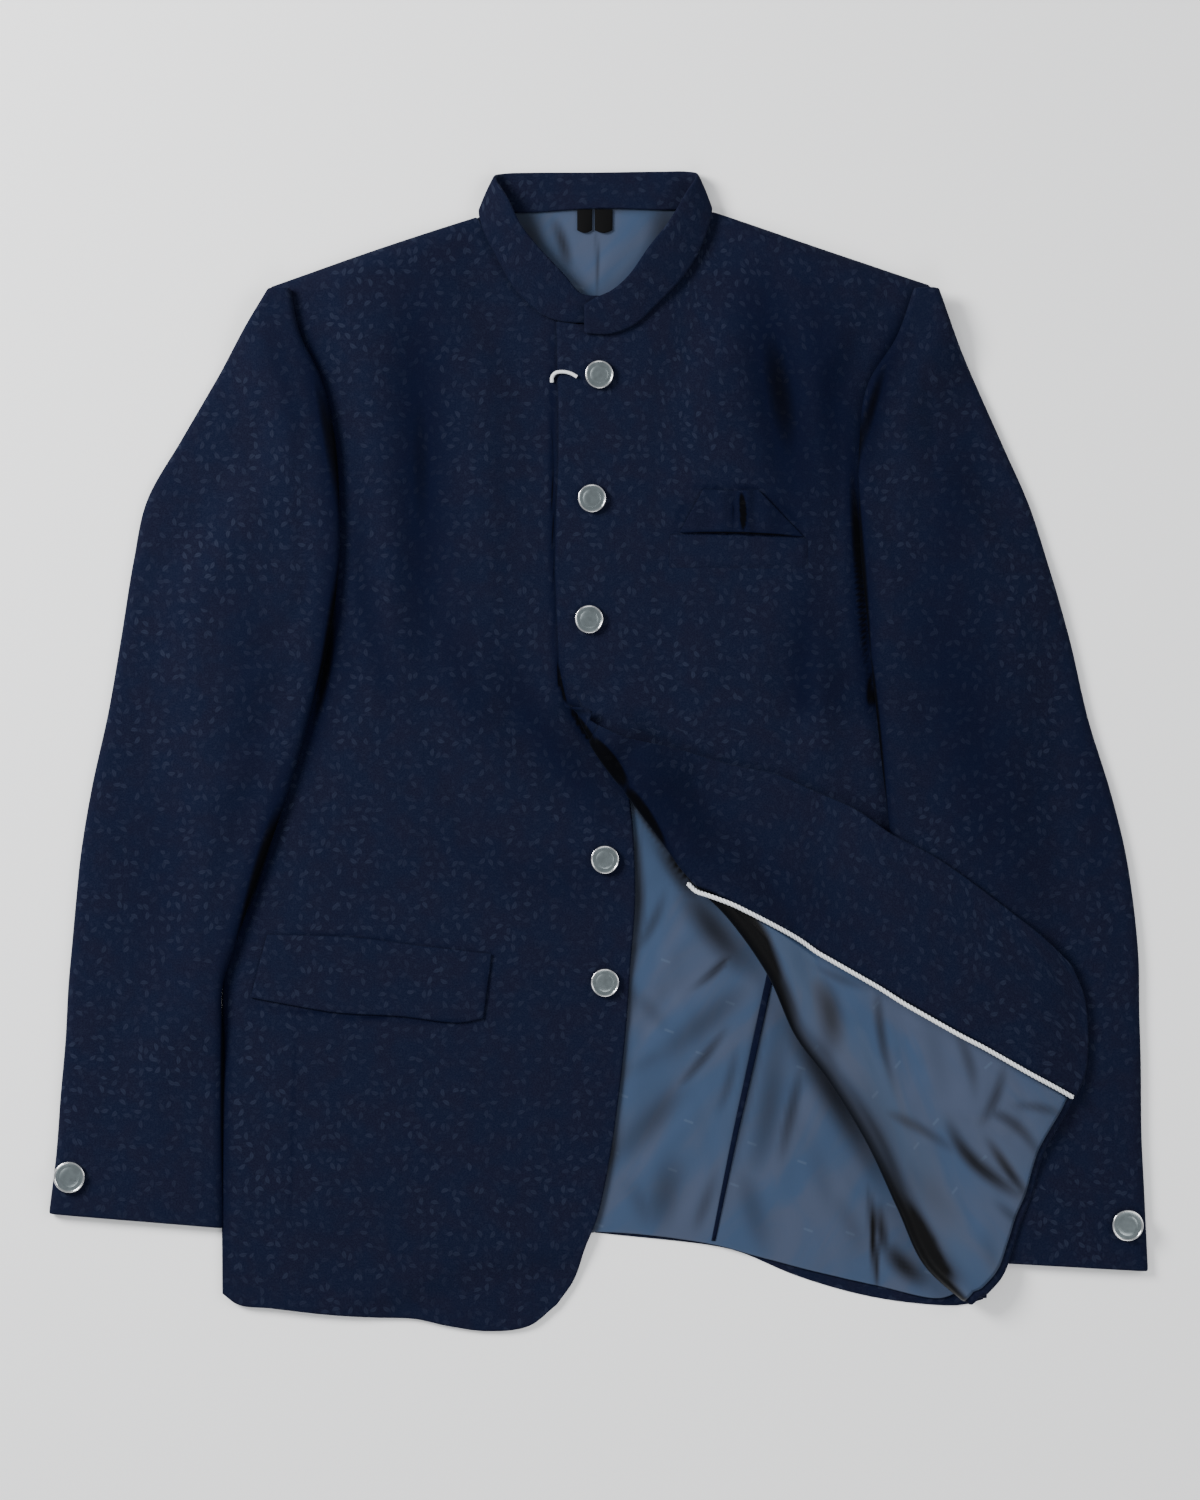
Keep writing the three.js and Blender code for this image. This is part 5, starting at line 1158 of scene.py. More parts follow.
def weave_group():
    """Tone-on-tone leaf weave of the shell cloth, with painted sheen on its leaves and painted shade from its
    Shade input.
    """
    tree, start, end = new_group(
        "Leaf weave", (("Cloth", VECTOR), ("Ground", COLOUR), ("Leaf", COLOUR), ("Shade", FLOAT)), CLOTH_LOOK)
    place = scaled(tree, start.outputs["Cloth"], 1 / MM)
    leaf, leaf_sheen = leaf_scatter(tree, place, *LARGE_LEAF)
    shifted = tree.nodes.new("ShaderNodeVectorMath")
    shifted.operation = "ADD"
    shifted.inputs[1].default_value = SMALL_LEAF_SHIFT
    tree.links.new(place, shifted.inputs[0])
    small, small_leaf_sheen = leaf_scatter(tree, shifted.outputs[0], *SMALL_LEAF)
    # Leaves brighter or dimmer at random, and in broad patches below: painted sheen of the woven figure
    bright = math_node(tree, "MULTIPLY", leaf, ramp(tree, leaf_sheen, 0.0, 0.95))
    faint = math_node(tree, "MULTIPLY", small, math_node(tree, "MULTIPLY", small_leaf_sheen, 0.42))
    figure = math_node(tree, "MAXIMUM", bright, faint)
    patches = node(tree, "ShaderNodeTexNoise", Scale=0.011, Detail=2.0)
    tree.links.new(place, patches.inputs["Vector"])
    sheen_patch = ramp(tree, patches.outputs["Fac"], 0.3, 0.7)
    strength = math_node(tree, "MULTIPLY", figure, math_node(tree, "MULTIPLY_ADD", sheen_patch, 0.5, 0.5))
    grain = node(tree, "ShaderNodeTexNoise", Scale=0.9, Detail=3.0, Roughness=0.7)
    tree.links.new(place, grain.inputs["Vector"])
    warm = node(tree, "ShaderNodeTexNoise", Scale=0.045, Detail=3.0)
    tree.links.new(place, warm.inputs["Vector"])
    greyer = ramp(tree, warm.outputs["Fac"], 0.35, 0.65)
    ground = blend_colour(tree, greyer, start.outputs["Ground"], GREY_WOOL)
    specks = math_node(tree, "MULTIPLY", ramp(tree, grain.outputs["Fac"], 0.3, 0.8), 0.55)
    ground = blend_colour(tree, specks, ground, start.outputs["Leaf"])
    colour = blend_colour(tree, strength, ground, start.outputs["Leaf"])
    # Painted shade: the Shade input darkens the wool towards a shade tone, then a shadow tone
    keep = math_node(tree, "SUBTRACT", 1.0, start.outputs["Shade"])
    colour = blend_colour(tree, keep, WOOL_SHADE_TONE, colour)
    colour = blend_colour(tree, ramp(tree, start.outputs["Shade"], *WOOL_TO_SHADOW), colour, WOOL_SHADOW_TONE)
    tree.links.new(colour, end.inputs["Colour"])
    twill = node(tree, "ShaderNodeTexWave", Scale=0.55, Distortion=1.2, Detail=1.0)
    tree.links.new(place, twill.inputs["Vector"])
    ribs = math_node(tree, "MULTIPLY", twill.outputs["Fac"], 0.18)
    height = math_node(tree, "MULTIPLY_ADD", figure, 0.7, ribs)
    height = math_node(tree, "MULTIPLY_ADD", grain.outputs["Fac"], 0.5, height)
    tree.links.new(height, end.inputs["Height"])
    rough = math_node(tree, "MULTIPLY_ADD", figure, -0.22, 0.86)
    tree.links.new(rough, end.inputs["Roughness"])
    return tree


def satin_group():
    """Smooth lining cloth with drifting tones as painted sheen, sparse short dashes, and painted shade from
    its Shade input.
    """
    tree, start, end = new_group(
        "Satin lining", (("Cloth", VECTOR), ("Cool", COLOUR), ("Warm", COLOUR), ("Shade", FLOAT)), CLOTH_LOOK)
    place = scaled(tree, start.outputs["Cloth"], 1 / MM)
    # The lining's tone drifts between its cool and warm colours in broad diagonal bands: painted sheen
    stretched = tree.nodes.new("ShaderNodeMapping")
    stretched.vector_type = "TEXTURE"
    stretched.inputs["Rotation"].default_value = (0, 0, math.radians(SHEEN_DRIFT_TURN))
    stretched.inputs["Scale"].default_value = (*SHEEN_DRIFT_SIZE, 1)
    tree.links.new(place, stretched.inputs["Vector"])
    sheen_drift = node(tree, "ShaderNodeTexNoise", Scale=1.0, Detail=3.0, Roughness=0.5, Distortion=0.8)
    tree.links.new(stretched.outputs[0], sheen_drift.inputs["Vector"])
    tone = blend_colour(tree, ramp(tree, sheen_drift.outputs["Fac"], 0.4, 0.62), start.outputs["Cool"],
                        start.outputs["Warm"])
    dash_place = tree.nodes.new("ShaderNodeMapping")
    dash_place.inputs["Rotation"].default_value = (0, 0, math.radians(DASH_TURN))
    dash_place.inputs["Scale"].default_value = (1 / DASH_SPACING, 1 / DASH_SPACING, 1)
    tree.links.new(place, dash_place.inputs["Vector"])
    local, _ = scattered(tree, dash_place.outputs[0], DASH_LOOSENESS)
    split = tree.nodes.new("ShaderNodeSeparateXYZ")
    tree.links.new(local, split.inputs[0])
    long_way = ramp(tree, math_node(tree, "ABSOLUTE", split.outputs[0]), *DASH_LENGTH)
    short_way = ramp(tree, math_node(tree, "ABSOLUTE", split.outputs[1]), *DASH_WIDTH)
    dash = math_node(tree, "MULTIPLY", math_node(tree, "MULTIPLY", long_way, short_way), 0.4)
    tone = blend_colour(tree, dash, tone, DASH_TONE)
    # Painted shade: the Shade input turns the lining towards a brownish shade tone, then a shadow tone
    satin_shade_share = math_node(tree, "MULTIPLY", ramp(tree, start.outputs["Shade"], 0.05, 0.7), 0.85)
    tone = blend_colour(tree, satin_shade_share, tone, SATIN_SHADE_TONE)
    tone = blend_colour(tree, ramp(tree, start.outputs["Shade"], *SATIN_TO_SHADOW), tone, SATIN_SHADOW_TONE)
    tree.links.new(tone, end.inputs["Colour"])
    fine = node(tree, "ShaderNodeTexNoise", Scale=0.16, Detail=4.0, Roughness=0.55, Distortion=0.6)
    tree.links.new(place, fine.inputs["Vector"])
    thread = node(tree, "ShaderNodeTexWave", Scale=1.6, Distortion=0.3)
    tree.links.new(place, thread.inputs["Vector"])
    height = math_node(tree, "MULTIPLY_ADD", thread.outputs["Fac"], 0.03, fine.outputs["Fac"])
    tree.links.new(height, end.inputs["Height"])
    rough = math_node(tree, "MULTIPLY_ADD", sheen_drift.outputs["Fac"], 0.16, 0.34)
    tree.links.new(rough, end.inputs["Roughness"])
    return tree


def cloth_material(name, group, colours, sheen, sheen_tint, bump, gloss):
    """A material that lays a weave group along the piece's own cloth coordinates."""
    material = bpy.data.materials.new(name)
    material.use_nodes = True
    tree = material.node_tree
    shader = tree.nodes["Principled BSDF"]
    cloth_uv = tree.nodes.new("ShaderNodeUVMap")
    cloth_uv.uv_map = "cloth"
    weave = tree.nodes.new("ShaderNodeGroup")
    weave.node_tree = group
    tree.links.new(cloth_uv.outputs[0], weave.inputs["Cloth"])
    for label, colour in colours.items():
        weave.inputs[label].default_value = (*colour, 1)
    shade = tree.nodes.new("ShaderNodeAttribute")
    shade.attribute_name = "shade"
    tree.links.new(shade.outputs["Fac"], weave.inputs["Shade"])
    tree.links.new(weave.outputs["Colour"], shader.inputs["Base Color"])
    tree.links.new(weave.outputs["Roughness"], shader.inputs["Roughness"])
    raise_up = tree.nodes.new("ShaderNodeBump")
    raise_up.inputs["Strength"].default_value = bump
    raise_up.inputs["Distance"].default_value = WEAVE_RELIEF * MM
    tree.links.new(weave.outputs["Height"], raise_up.inputs["Height"])
    tree.links.new(raise_up.outputs[0], shader.inputs["Normal"])
    shader.inputs["Sheen Weight"].default_value = sheen
    shader.inputs["Sheen Roughness"].default_value = SHEEN_ROUGHNESS
    shader.inputs["Sheen Tint"].default_value = (*sheen_tint, 1)
    shader.inputs["Specular IOR Level"].default_value = gloss
    return material


def plain_material(name, colour, rough, noise_scale, metallic=0.0, noise=0.1, bump=0.15, gloss=0.5):
    """A material whose colour and gloss vary a little over the surface."""
    material = bpy.data.materials.new(name)
    material.use_nodes = True
    tree = material.node_tree
    shader = tree.nodes["Principled BSDF"]
    place = tree.nodes.new("ShaderNodeTexCoord")
    grain = node(tree, "ShaderNodeTexNoise", Scale=noise_scale, Detail=3.0)
    tree.links.new(place.outputs["Object"], grain.inputs["Vector"])
    dim = tuple(c * (1 - noise * 2) for c in colour)
    tree.links.new(blend_colour(tree, grain.outputs["Fac"], dim, colour), shader.inputs["Base Color"])
    tree.links.new(math_node(tree, "MULTIPLY_ADD", grain.outputs["Fac"], noise, rough - noise / 2),
                   shader.inputs["Roughness"])
    lift = tree.nodes.new("ShaderNodeBump")
    lift.inputs["Strength"].default_value = bump
    lift.inputs["Distance"].default_value = GRAIN_RELIEF * MM
    tree.links.new(grain.outputs["Fac"], lift.inputs["Height"])
    tree.links.new(lift.outputs[0], shader.inputs["Normal"])
    shader.inputs["Metallic"].default_value = metallic
    shader.inputs["Specular IOR Level"].default_value = gloss
    return material


made = {}


def materials():
    """All finishes, made once."""
    if made:
        return made
    colours = bpy.context.scene.jacket_colours
    leaf, satin = weave_group(), satin_group()
    wool_colours = {"Ground": tuple(colours.ground), "Leaf": tuple(colours.leaf)}
    made["wool"] = cloth_material("Leaf-woven wool", leaf, wool_colours, 0.02, (0.3, 0.4, 0.75), 0.5, 0.045)
    made["satin"] = cloth_material(
        "Satin lining", satin, {"Cool": tuple(colours.lining_cool), "Warm": tuple(colours.lining_warm)},
        0.02, (0.6, 0.7, 0.9), 0.35, 0.12)
    made["cord"] = plain_material("Pale silk cord", tuple(colours.cord), 0.42, 1400.0)
    made["rim"] = plain_material("Polished metal", tuple(colours.metal), 0.16, 300.0, 1.0, 0.05, 0.05)
    made["face"] = plain_material("Satin metal", tuple(colours.face), 0.3, 260.0, 1.0, 0.12)
    made["label"] = plain_material("Black label weave", LABEL_TONE, 0.8, 1500.0, gloss=0.06)
    return made


# Pieces

def plan_uv(grid):
    """Cloth coordinates of a piece that lies nearly flat."""
    return grid[..., :2].copy()


def build_back():
    """Both halves of the back."""
    hem_split, neck_middle, neck_split, shoulder_share = 4, 2, 3, 5 / 8
    hem, neck = stack(BACK_HEM), stack(BACK_NECK)
    for hand, name in ((RIGHT, "back_right"), (LEFT, "back_left")):
        low, high = hem[hem_split], neck[neck_middle]
        seam = np.array([low, (0, 100), (0, high[1] - 0.5)]) + (hand * SEAM_GAP / 2, 0)
        inner = curve(seam)
        side = stack(SIDES[hand]) - (hand * SHELL_WALL, 0)
        shoulder = stack(SHOULDERS[hand])
        us, vs = edged(*BACK_ACROSS), edged(*BACK_ALONG)
        if hand == RIGHT:
            own_hem, own_neck = hem[:hem_split], neck[:neck_split]
            outer = curve(np.vstack([own_hem[0], side[1:-1], shoulder[0]]))
            plan = patch(curve(np.vstack([own_hem, inner(0.0)])),
                         joined(curve(shoulder), curve(np.vstack([own_neck, inner(1.0)])), shoulder_share),
                         outer, inner, us, vs)
        else:
            own_hem, own_neck = hem[hem_split + 1:], neck[neck_split:]
            outer = curve(np.vstack([own_hem[-1], side[1:-1], shoulder[-1]]))
            plan = patch(curve(np.vstack([inner(0.0), own_hem])),
                         joined(curve(np.vstack([inner(1.0), own_neck])), curve(shoulder),
                                1 - shoulder_share),
                         inner, outer, us, vs)
        grid = raised(plan, BACK_WALL / 2)
        piece = cloth(name + "_cloth", grid, BACK_WALL, plan_uv(grid), materials()["wool"])
        flat, area = cut_of(grid)
        finish(piece, "wool", name, sheet=flat, rests_on=["floor"], area=area)


def build_back_lining():
    """Lining of the back with its soft wrinkles, and the strip of self cloth along the vent."""
    lining_hem, lining_neck = stack(LINING_HEM), stack(LINING_NECK)
    sides = [stack(rows) - np.sign(stack(rows)) * (LINING_INSET, 0) for rows in SIDES.values()]
    left = curve(np.vstack([lining_hem[0], sides[0][1:-1], lining_neck[0]]))
    right = curve(np.vstack([lining_hem[-1], sides[1][1:-1], lining_neck[-1]]))
    plan = patch(curve(lining_hem), curve(lining_neck), left, right,
                 edged(*LINING_ACROSS), edged(*LINING_ALONG))
    x, y = plan[..., 0], plan[..., 1]
    fold_x = read(FOLD_LINE, "x", x, "y")
    shown = (smoothstep(x, *LINING_SHOWN) * smoothstep(fold_x - y, *LINING_FOLD_CLEAR)
             * smoothstep(-y, *LINING_SHOWN_ALONG))
    from_label = np.hypot(x + LINING_NECK_SPOT[0], y - LINING_NECK_SPOT[1])
    at_neck = smoothstep(from_label, *LINING_NECK_NEAR)
    shade_depth = shade_along_lines(BACK_LINING_SHADE_AND_SEAM, x, y)
    relief = creases(BACK_LINING_CREASES, x, y) - DARK_SINK * shade_depth
    relief = relief * np.maximum(shown, at_neck * NECK_RELIEF)
    relief = relief + shown * (LINING_LIFT + ripple(x, y, *LINING_WAVE))
    z = LINING_TOP - LINING_WALL / 2 + np.maximum(relief, LINING_DEEPEST)
    grid = raised(plan, z)
    # Painted shadow on the lining beside the right front's edge, and painted shade round the back neck
    edge_shadow = 1 - smoothstep(x - np.interp(y, RIGHT_EDGE["y"], RIGHT_EDGE["x"]), *EDGE_SHADOW_REACH)
    shade = edge_shadow * EDGE_SHADE * smoothstep(-y, *EDGE_SHADOW_ALONG) + shade_depth
    neck_shade = smoothstep(from_label, *LINING_NECK_SHADOW) * smoothstep(y, *NECK_SHADOW_ALONG)
    piece = cloth("back_lining_cloth", grid, LINING_WALL, plan_uv(grid), materials()["satin"],
                  shade=np.clip(np.maximum(shade, shade_along_lines(FOLD_START_SHADOW, x, y)) + neck_shade * NECK_SHADE, 0, 1))
    flat, area = cut_of(grid)
    finish(piece, "satin", "back_lining", sheet=flat, rests_on=["back_right", "back_left"], area=area)

    line = catmull(stack(VENT_STRIP), COARSE_STEPS)
    width = np.interp(line[:, 1], VENT_STRIP["y"][::-1], VENT_STRIP["half"][::-1])
    across = np.array(STRIP_COLUMNS)
    plan = np.stack([line[:, :1] + across[None, :] * width[:, None],
                     np.broadcast_to(line[:, 1:], (len(line), len(across)))], axis=-1)
    x, y = plan[..., 0], plan[..., 1]
    base = np.maximum(creases(BACK_LINING_CREASES, x, y), LINING_DEEPEST)
    base = base + STRIP_LIFT + ripple(x, y, *LINING_WAVE)
    z = LINING_TOP + SEAM_GAP + LINING_WALL / 2 + np.maximum(base, 0)
    grid = raised(plan, z)
    piece = cloth("vent_strip_cloth", grid, LINING_WALL, plan_uv(grid), materials()["wool"],
                  shade=np.full(x.shape, STRIP_SHADE))
    finish(piece, "wool", "vent_strip")


def build_right_front():
    """Right front, and the flap of its pocket."""
    top = joined(curve(stack(RIGHT_SHOULDER)), curve(stack(RIGHT_NECK)), RIGHT_SHOULDER_SHARE)
    plan = patch(curve(stack(RIGHT_HEM)), top, curve(stack(RIGHT_SIDE)), curve(stack(RIGHT_EDGE)),
                 edged(*FRONT_ACROSS), edged(*FRONT_ALONG))
    x, y = plan[..., 0], plan[..., 1]
    grid = raised(plan, right_height(x, y) - SHELL_WALL / 2)
    piece = cloth("right_front_cloth", grid, SHELL_WALL, plan_uv(grid), materials()["wool"],
                  shade=shade_at(x, y))
    flat, area = cut_of(grid)
    finish(piece, "wool", "right_front", sheet=flat, rests_on=["back_right", "back_lining"], area=area)
    laid("pocket_flap", FLAP_BOTTOM, FLAP_TOP, right_height, TRIM_WALL, FLAP_SIZE)


def strap(bottom, top, us, vs):
    """A plan grid between two edges."""
    low, high = curve(stack(bottom))(us), curve(stack(top))(us)
    return mix(low[None], high[None], vs[:, None, None])


def laid(name, bottom, top, height, thickness, size, extra=None, shade=0.0, step=CLOTH_STEP, gap=LAY_GAP):
    """A flat piece laid on a panel, its grid made from the panel's own height."""
    plan = strap(bottom, top, *(edged(length, step) for length in size))
    x, y = plan[..., 0], plan[..., 1]
    z = height(x, y) + gap + thickness / 2
    if extra is not None:
        z = z + extra(x, y)
    grid = raised(plan, z)
    piece = cloth(name + "_cloth", grid, thickness, plan_uv(grid) + TRIM_SHIFT, materials()["wool"],
                  shade=np.clip(shade_at(x, y) + shade, 0, 1))
    flat, area = cut_of(grid)
    finish(piece, "wool", name, sheet=flat, area=area)


def build_left_front():
    """Left front with its facing, lining and piping."""
    grid, uv, shares, past, curled = left_front_grid()
    turned = smoothstep(shares, *PLAIN_BEFORE_TURN)[:, None] * np.ones(grid.shape[:2])
    up = 1 if grid_normals(grid)[-5, -4, 2] > 0 else -1
    shade = np.maximum(shade_at(grid[..., 0], grid[..., 1], turned), roll_shade(shares, past, curled))
    piece = cloth("left_front_cloth", grid, SHELL_WALL, uv, materials()["wool"], shade=shade, flip=up > 0)
    flat, area = cut_of(grid)
    finish(piece, "wool", "left_front", sheet=flat, held="folded",
           rests_on=["right_front", "back_left", "left_sleeve_top"], area=area)
    normal = grid_normals(grid) * up
    share = shares[:-1, None] * np.ones((1, grid.shape[1] - 1))
    column = np.arange(grid.shape[1] - 1)[None, :] * np.ones((grid.shape[0] - 1, 1))
    shown = column >= SHOWN_COLUMN
    x, y = grid[..., 0], grid[..., 1]
    on_top = smoothstep(np.arange(grid.shape[1]), LOWER_COLUMNS + ROLL_COLUMNS,
                        SLIT_COLUMN - LINING_FLAT_END)[None, :]
    by_slit = smoothstep(np.abs(np.arange(grid.shape[1]) - SLIT_COLUMN), *SLIT_CLEAR)[None, :]
    shade_depth = shade_along_lines(TURNED_LINING_SHADE, x, y)
    wrinkle = creases(TURNED_CREASES, x, y) - DARK_SINK * shade_depth + LINING_LIFT + ripple(x, y, *TURNED_WAVE)
    wrinkle = wrinkle * on_top * by_slit
    lift = SHELL_WALL / 2 + SEAM_GAP
    lining = grid + normal * (lift + LINING_WALL / 2 + np.maximum(wrinkle, 0))[..., None]
    keep = (share >= LINING_START) & (share < LINING_END) & (column < SLIT_COLUMN) & shown
    # Painted shade inside the roll and in the valley beside it, on the lining and, near the roll's start, on
    # the facing
    valley = roll_shade(shares, past, curled)
    piece = cloth("left_front_lining_cloth", lining, LINING_WALL, uv, materials()["satin"], keep=keep,
                  shade=np.clip(valley + shade_depth * smoothstep(past, *VALLEY_CLEAR), 0, 1), flip=up < 0)
    rows = np.nonzero(keep.any(axis=1))[0]
    columns = np.nonzero(keep.any(axis=0))[0]
    part = lining[rows[0]:rows[-1] + 2, columns[0]:columns[-1] + 2]
    flat, area = cut_of(part)
    finish(piece, "satin", "left_front_lining", sheet=flat, held="folded",
           rests_on=["left_front_cloth"], area=area)

    soft = (creases(FACING_CREASES, x, y) + ripple(x, y, *FACING_WAVE) + FACING_LIFT) * turned
    soft = soft * smoothstep(np.arange(grid.shape[1]) - SLIT_COLUMN, *FACING_CLEAR)[None, :]
    facing = grid + normal * (lift + FACING_WALL / 2 + np.maximum(soft, 0))[..., None]
    by_roll = valley * (1 - smoothstep(shares, *FACING_ROLL_END))[:, None]
    keep = (share >= FACING_START) & ((column > SLIT_COLUMN) | ((share < LINING_START) & shown))
    shade = np.maximum(by_roll, np.maximum(shade_along_lines(FACING_SHADE, x, y), shade_along_lines(FOLD_START_SHADOW, x, y)))
    piece = cloth("left_facing_cloth", facing, FACING_WALL, uv + FACING_SHIFT, materials()["wool"],
                  keep=keep, shade=shade, flip=up < 0)
    rows = np.nonzero(keep.any(axis=1))[0]
    flat, _ = cut_of(facing[rows[0]:rows[-1] + 2, SLIT_COLUMN:])
    finish(piece, "wool", "left_facing", sheet=flat, held="folded", rests_on=["left_front_cloth"])
    build_piping(grid, normal, shares)


def roll_shade(shares, past, curled):
    """Dark inside of the roll and of the valley beside it."""
    start, end, depth = (np.interp(shares, ROLL_SHADE["share"], ROLL_SHADE[name])[:, None]
                         for name in ("start", "end", "depth"))
    under = smoothstep(past / curled[:, None], *ROLL_INSIDE)
    return under * depth * (1 - smoothstep((past + curled[:, None] / 2 - start) / (end - start), 0, 1))


def rope_group():
    """Cord along a path: strands wound round it, or one smooth strand."""
    tree = bpy.data.node_groups.new("Wound cord", "GeometryNodeTree")
    face = tree.interface
    face.new_socket("Geometry", in_out="INPUT", socket_type="NodeSocketGeometry")
    for label in ("Strand radius", "Wind radius", "Pitch", "Step"):
        socket = face.new_socket(label, in_out="INPUT", socket_type="NodeSocketFloat")
        socket.subtype = "DISTANCE"
    face.new_socket("Material", in_out="INPUT", socket_type="NodeSocketMaterial")
    face.new_socket("Geometry", in_out="OUTPUT", socket_type="NodeSocketGeometry")
    start, end = tree.nodes.new("NodeGroupInput"), tree.nodes.new("NodeGroupOutput")
    link = tree.links.new

    path = tree.nodes.new("GeometryNodeResampleCurve")
    path.mode = "LENGTH"
    link(start.outputs["Geometry"], path.inputs["Curve"])
    link(start.outputs["Step"], path.inputs["Length"])
    along = tree.nodes.new("GeometryNodeSplineParameter")
    normal = tree.nodes.new("GeometryNodeInputNormal")
    tangent = tree.nodes.new("GeometryNodeInputTangent")
    beside = tree.nodes.new("ShaderNodeVectorMath")
    beside.operation = "CROSS_PRODUCT"
    link(tangent.outputs[0], beside.inputs[0])
    link(normal.outputs[0], beside.inputs[1])
    join = tree.nodes.new("GeometryNodeJoinGeometry")
    profile = tree.nodes.new("GeometryNodeCurvePrimitiveCircle")
    profile.inputs["Resolution"].default_value = STRAND_SIDES
    link(start.outputs["Strand radius"], profile.inputs["Radius"])
    for k in range(STRANDS):
        turns = math_node(tree, "DIVIDE", along.outputs["Length"], start.outputs["Pitch"])
        angle = math_node(tree, "MULTIPLY", math_node(tree, "ADD", turns, k / STRANDS), 2 * math.pi)
        offset = None
        for operation, axis in (("COSINE", normal.outputs[0]), ("SINE", beside.outputs[0])):
            part = tree.nodes.new("ShaderNodeVectorMath")
            part.operation = "SCALE"
            link(axis, part.inputs[0])
            wave = math_node(tree, operation, angle)
            link(math_node(tree, "MULTIPLY", wave, start.outputs["Wind radius"]), part.inputs["Scale"])
            if offset is None:
                offset = part.outputs[0]
            else:
                total = tree.nodes.new("ShaderNodeVectorMath")
                link(offset, total.inputs[0])
                link(part.outputs[0], total.inputs[1])
                offset = total.outputs[0]
        moved = tree.nodes.new("GeometryNodeSetPosition")
        link(path.outputs[0], moved.inputs["Geometry"])
        link(offset, moved.inputs["Offset"])
        tube = tree.nodes.new("GeometryNodeCurveToMesh")
        link(moved.outputs[0], tube.inputs["Curve"])
        link(profile.outputs[0], tube.inputs["Profile Curve"])
        tube.inputs["Fill Caps"].default_value = True
        link(tube.outputs[0], join.inputs[0])
    real = tree.nodes.new("GeometryNodeRealizeInstances")
    link(join.outputs[0], real.inputs[0])
    finish_node = tree.nodes.new("GeometryNodeSetMaterial")
    link(real.outputs[0], finish_node.inputs["Geometry"])
    link(start.outputs["Material"], finish_node.inputs["Material"])
    link(finish_node.outputs[0], end.inputs[0])
    return tree


def path_curve(name, points):
    """A poly curve through points in millimetres."""
    data = bpy.data.curves.new(name, "CURVE")
    data.dimensions = "3D"
    spline = data.splines.new("POLY")
    spline.points.add(len(points) - 1)
    for spot, point in zip(spline.points, points):
        spot.co = (*(np.asarray(point) * MM), 1)
    obj = bpy.data.objects.new(name, data)
    bpy.context.scene.collection.objects.link(obj)
    return obj


def cord_piece(name, points, diameter, pitch, wound, material):
    """A cord as a plain mesh, made by the wound cord nodes along a path."""
    path = path_curve(name + "_path", points)
    tree = bpy.data.node_groups.get("Wound cord") or rope_group()
    modifier = path.modifiers.new("cord", "NODES")
    modifier.node_group = tree
    names = {item.name: item.identifier for item in tree.interface.items_tree if item.in_out == "INPUT"}
    strand, wind = (diameter * share for share in (WOUND_CORD if wound else SMOOTH_CORD))
    for label, value in (("Strand radius", strand * MM), ("Wind radius", wind * MM), ("Pitch", pitch * MM),
                         ("Step", CORD_STEP * MM), ("Material", material)):
        modifier[names[label]] = value
    bpy.context.view_layer.update()
    graph = bpy.context.evaluated_depsgraph_get()
    mesh = bpy.data.meshes.new_from_object(path.evaluated_get(graph), depsgraph=graph)
    mesh.name = name
    mesh.polygons.foreach_set("use_smooth", np.ones(len(mesh.polygons), bool))
    piece = bpy.data.objects.new(name, mesh)
    bpy.context.scene.collection.objects.link(piece)
    bpy.data.objects.remove(path)
    return piece


def build_piping(grid, normal, shares):
    """Twisted piping on the slit between facing and lining."""
    rows = np.nonzero((shares >= PIPING_START) & (shares < PIPING_END))[0]
    height = SHELL_WALL / 2 + SEAM_GAP + FACING_WALL + LAY_GAP + PIPING_DIAMETER / 2
    spots = (grid[rows, SLIT_COLUMN] + grid[rows, SLIT_COLUMN + 1]) / 2 + normal[rows, SLIT_COLUMN] * height
    line = curve(spots[::PIPING_SKIP])(np.linspace(0, 1, PIPING_STEPS))
    piece = cord_piece("piping_cord", line, PIPING_DIAMETER, PIPING_PITCH, True, materials()["cord"])
    finish(piece, "cord", "piping")


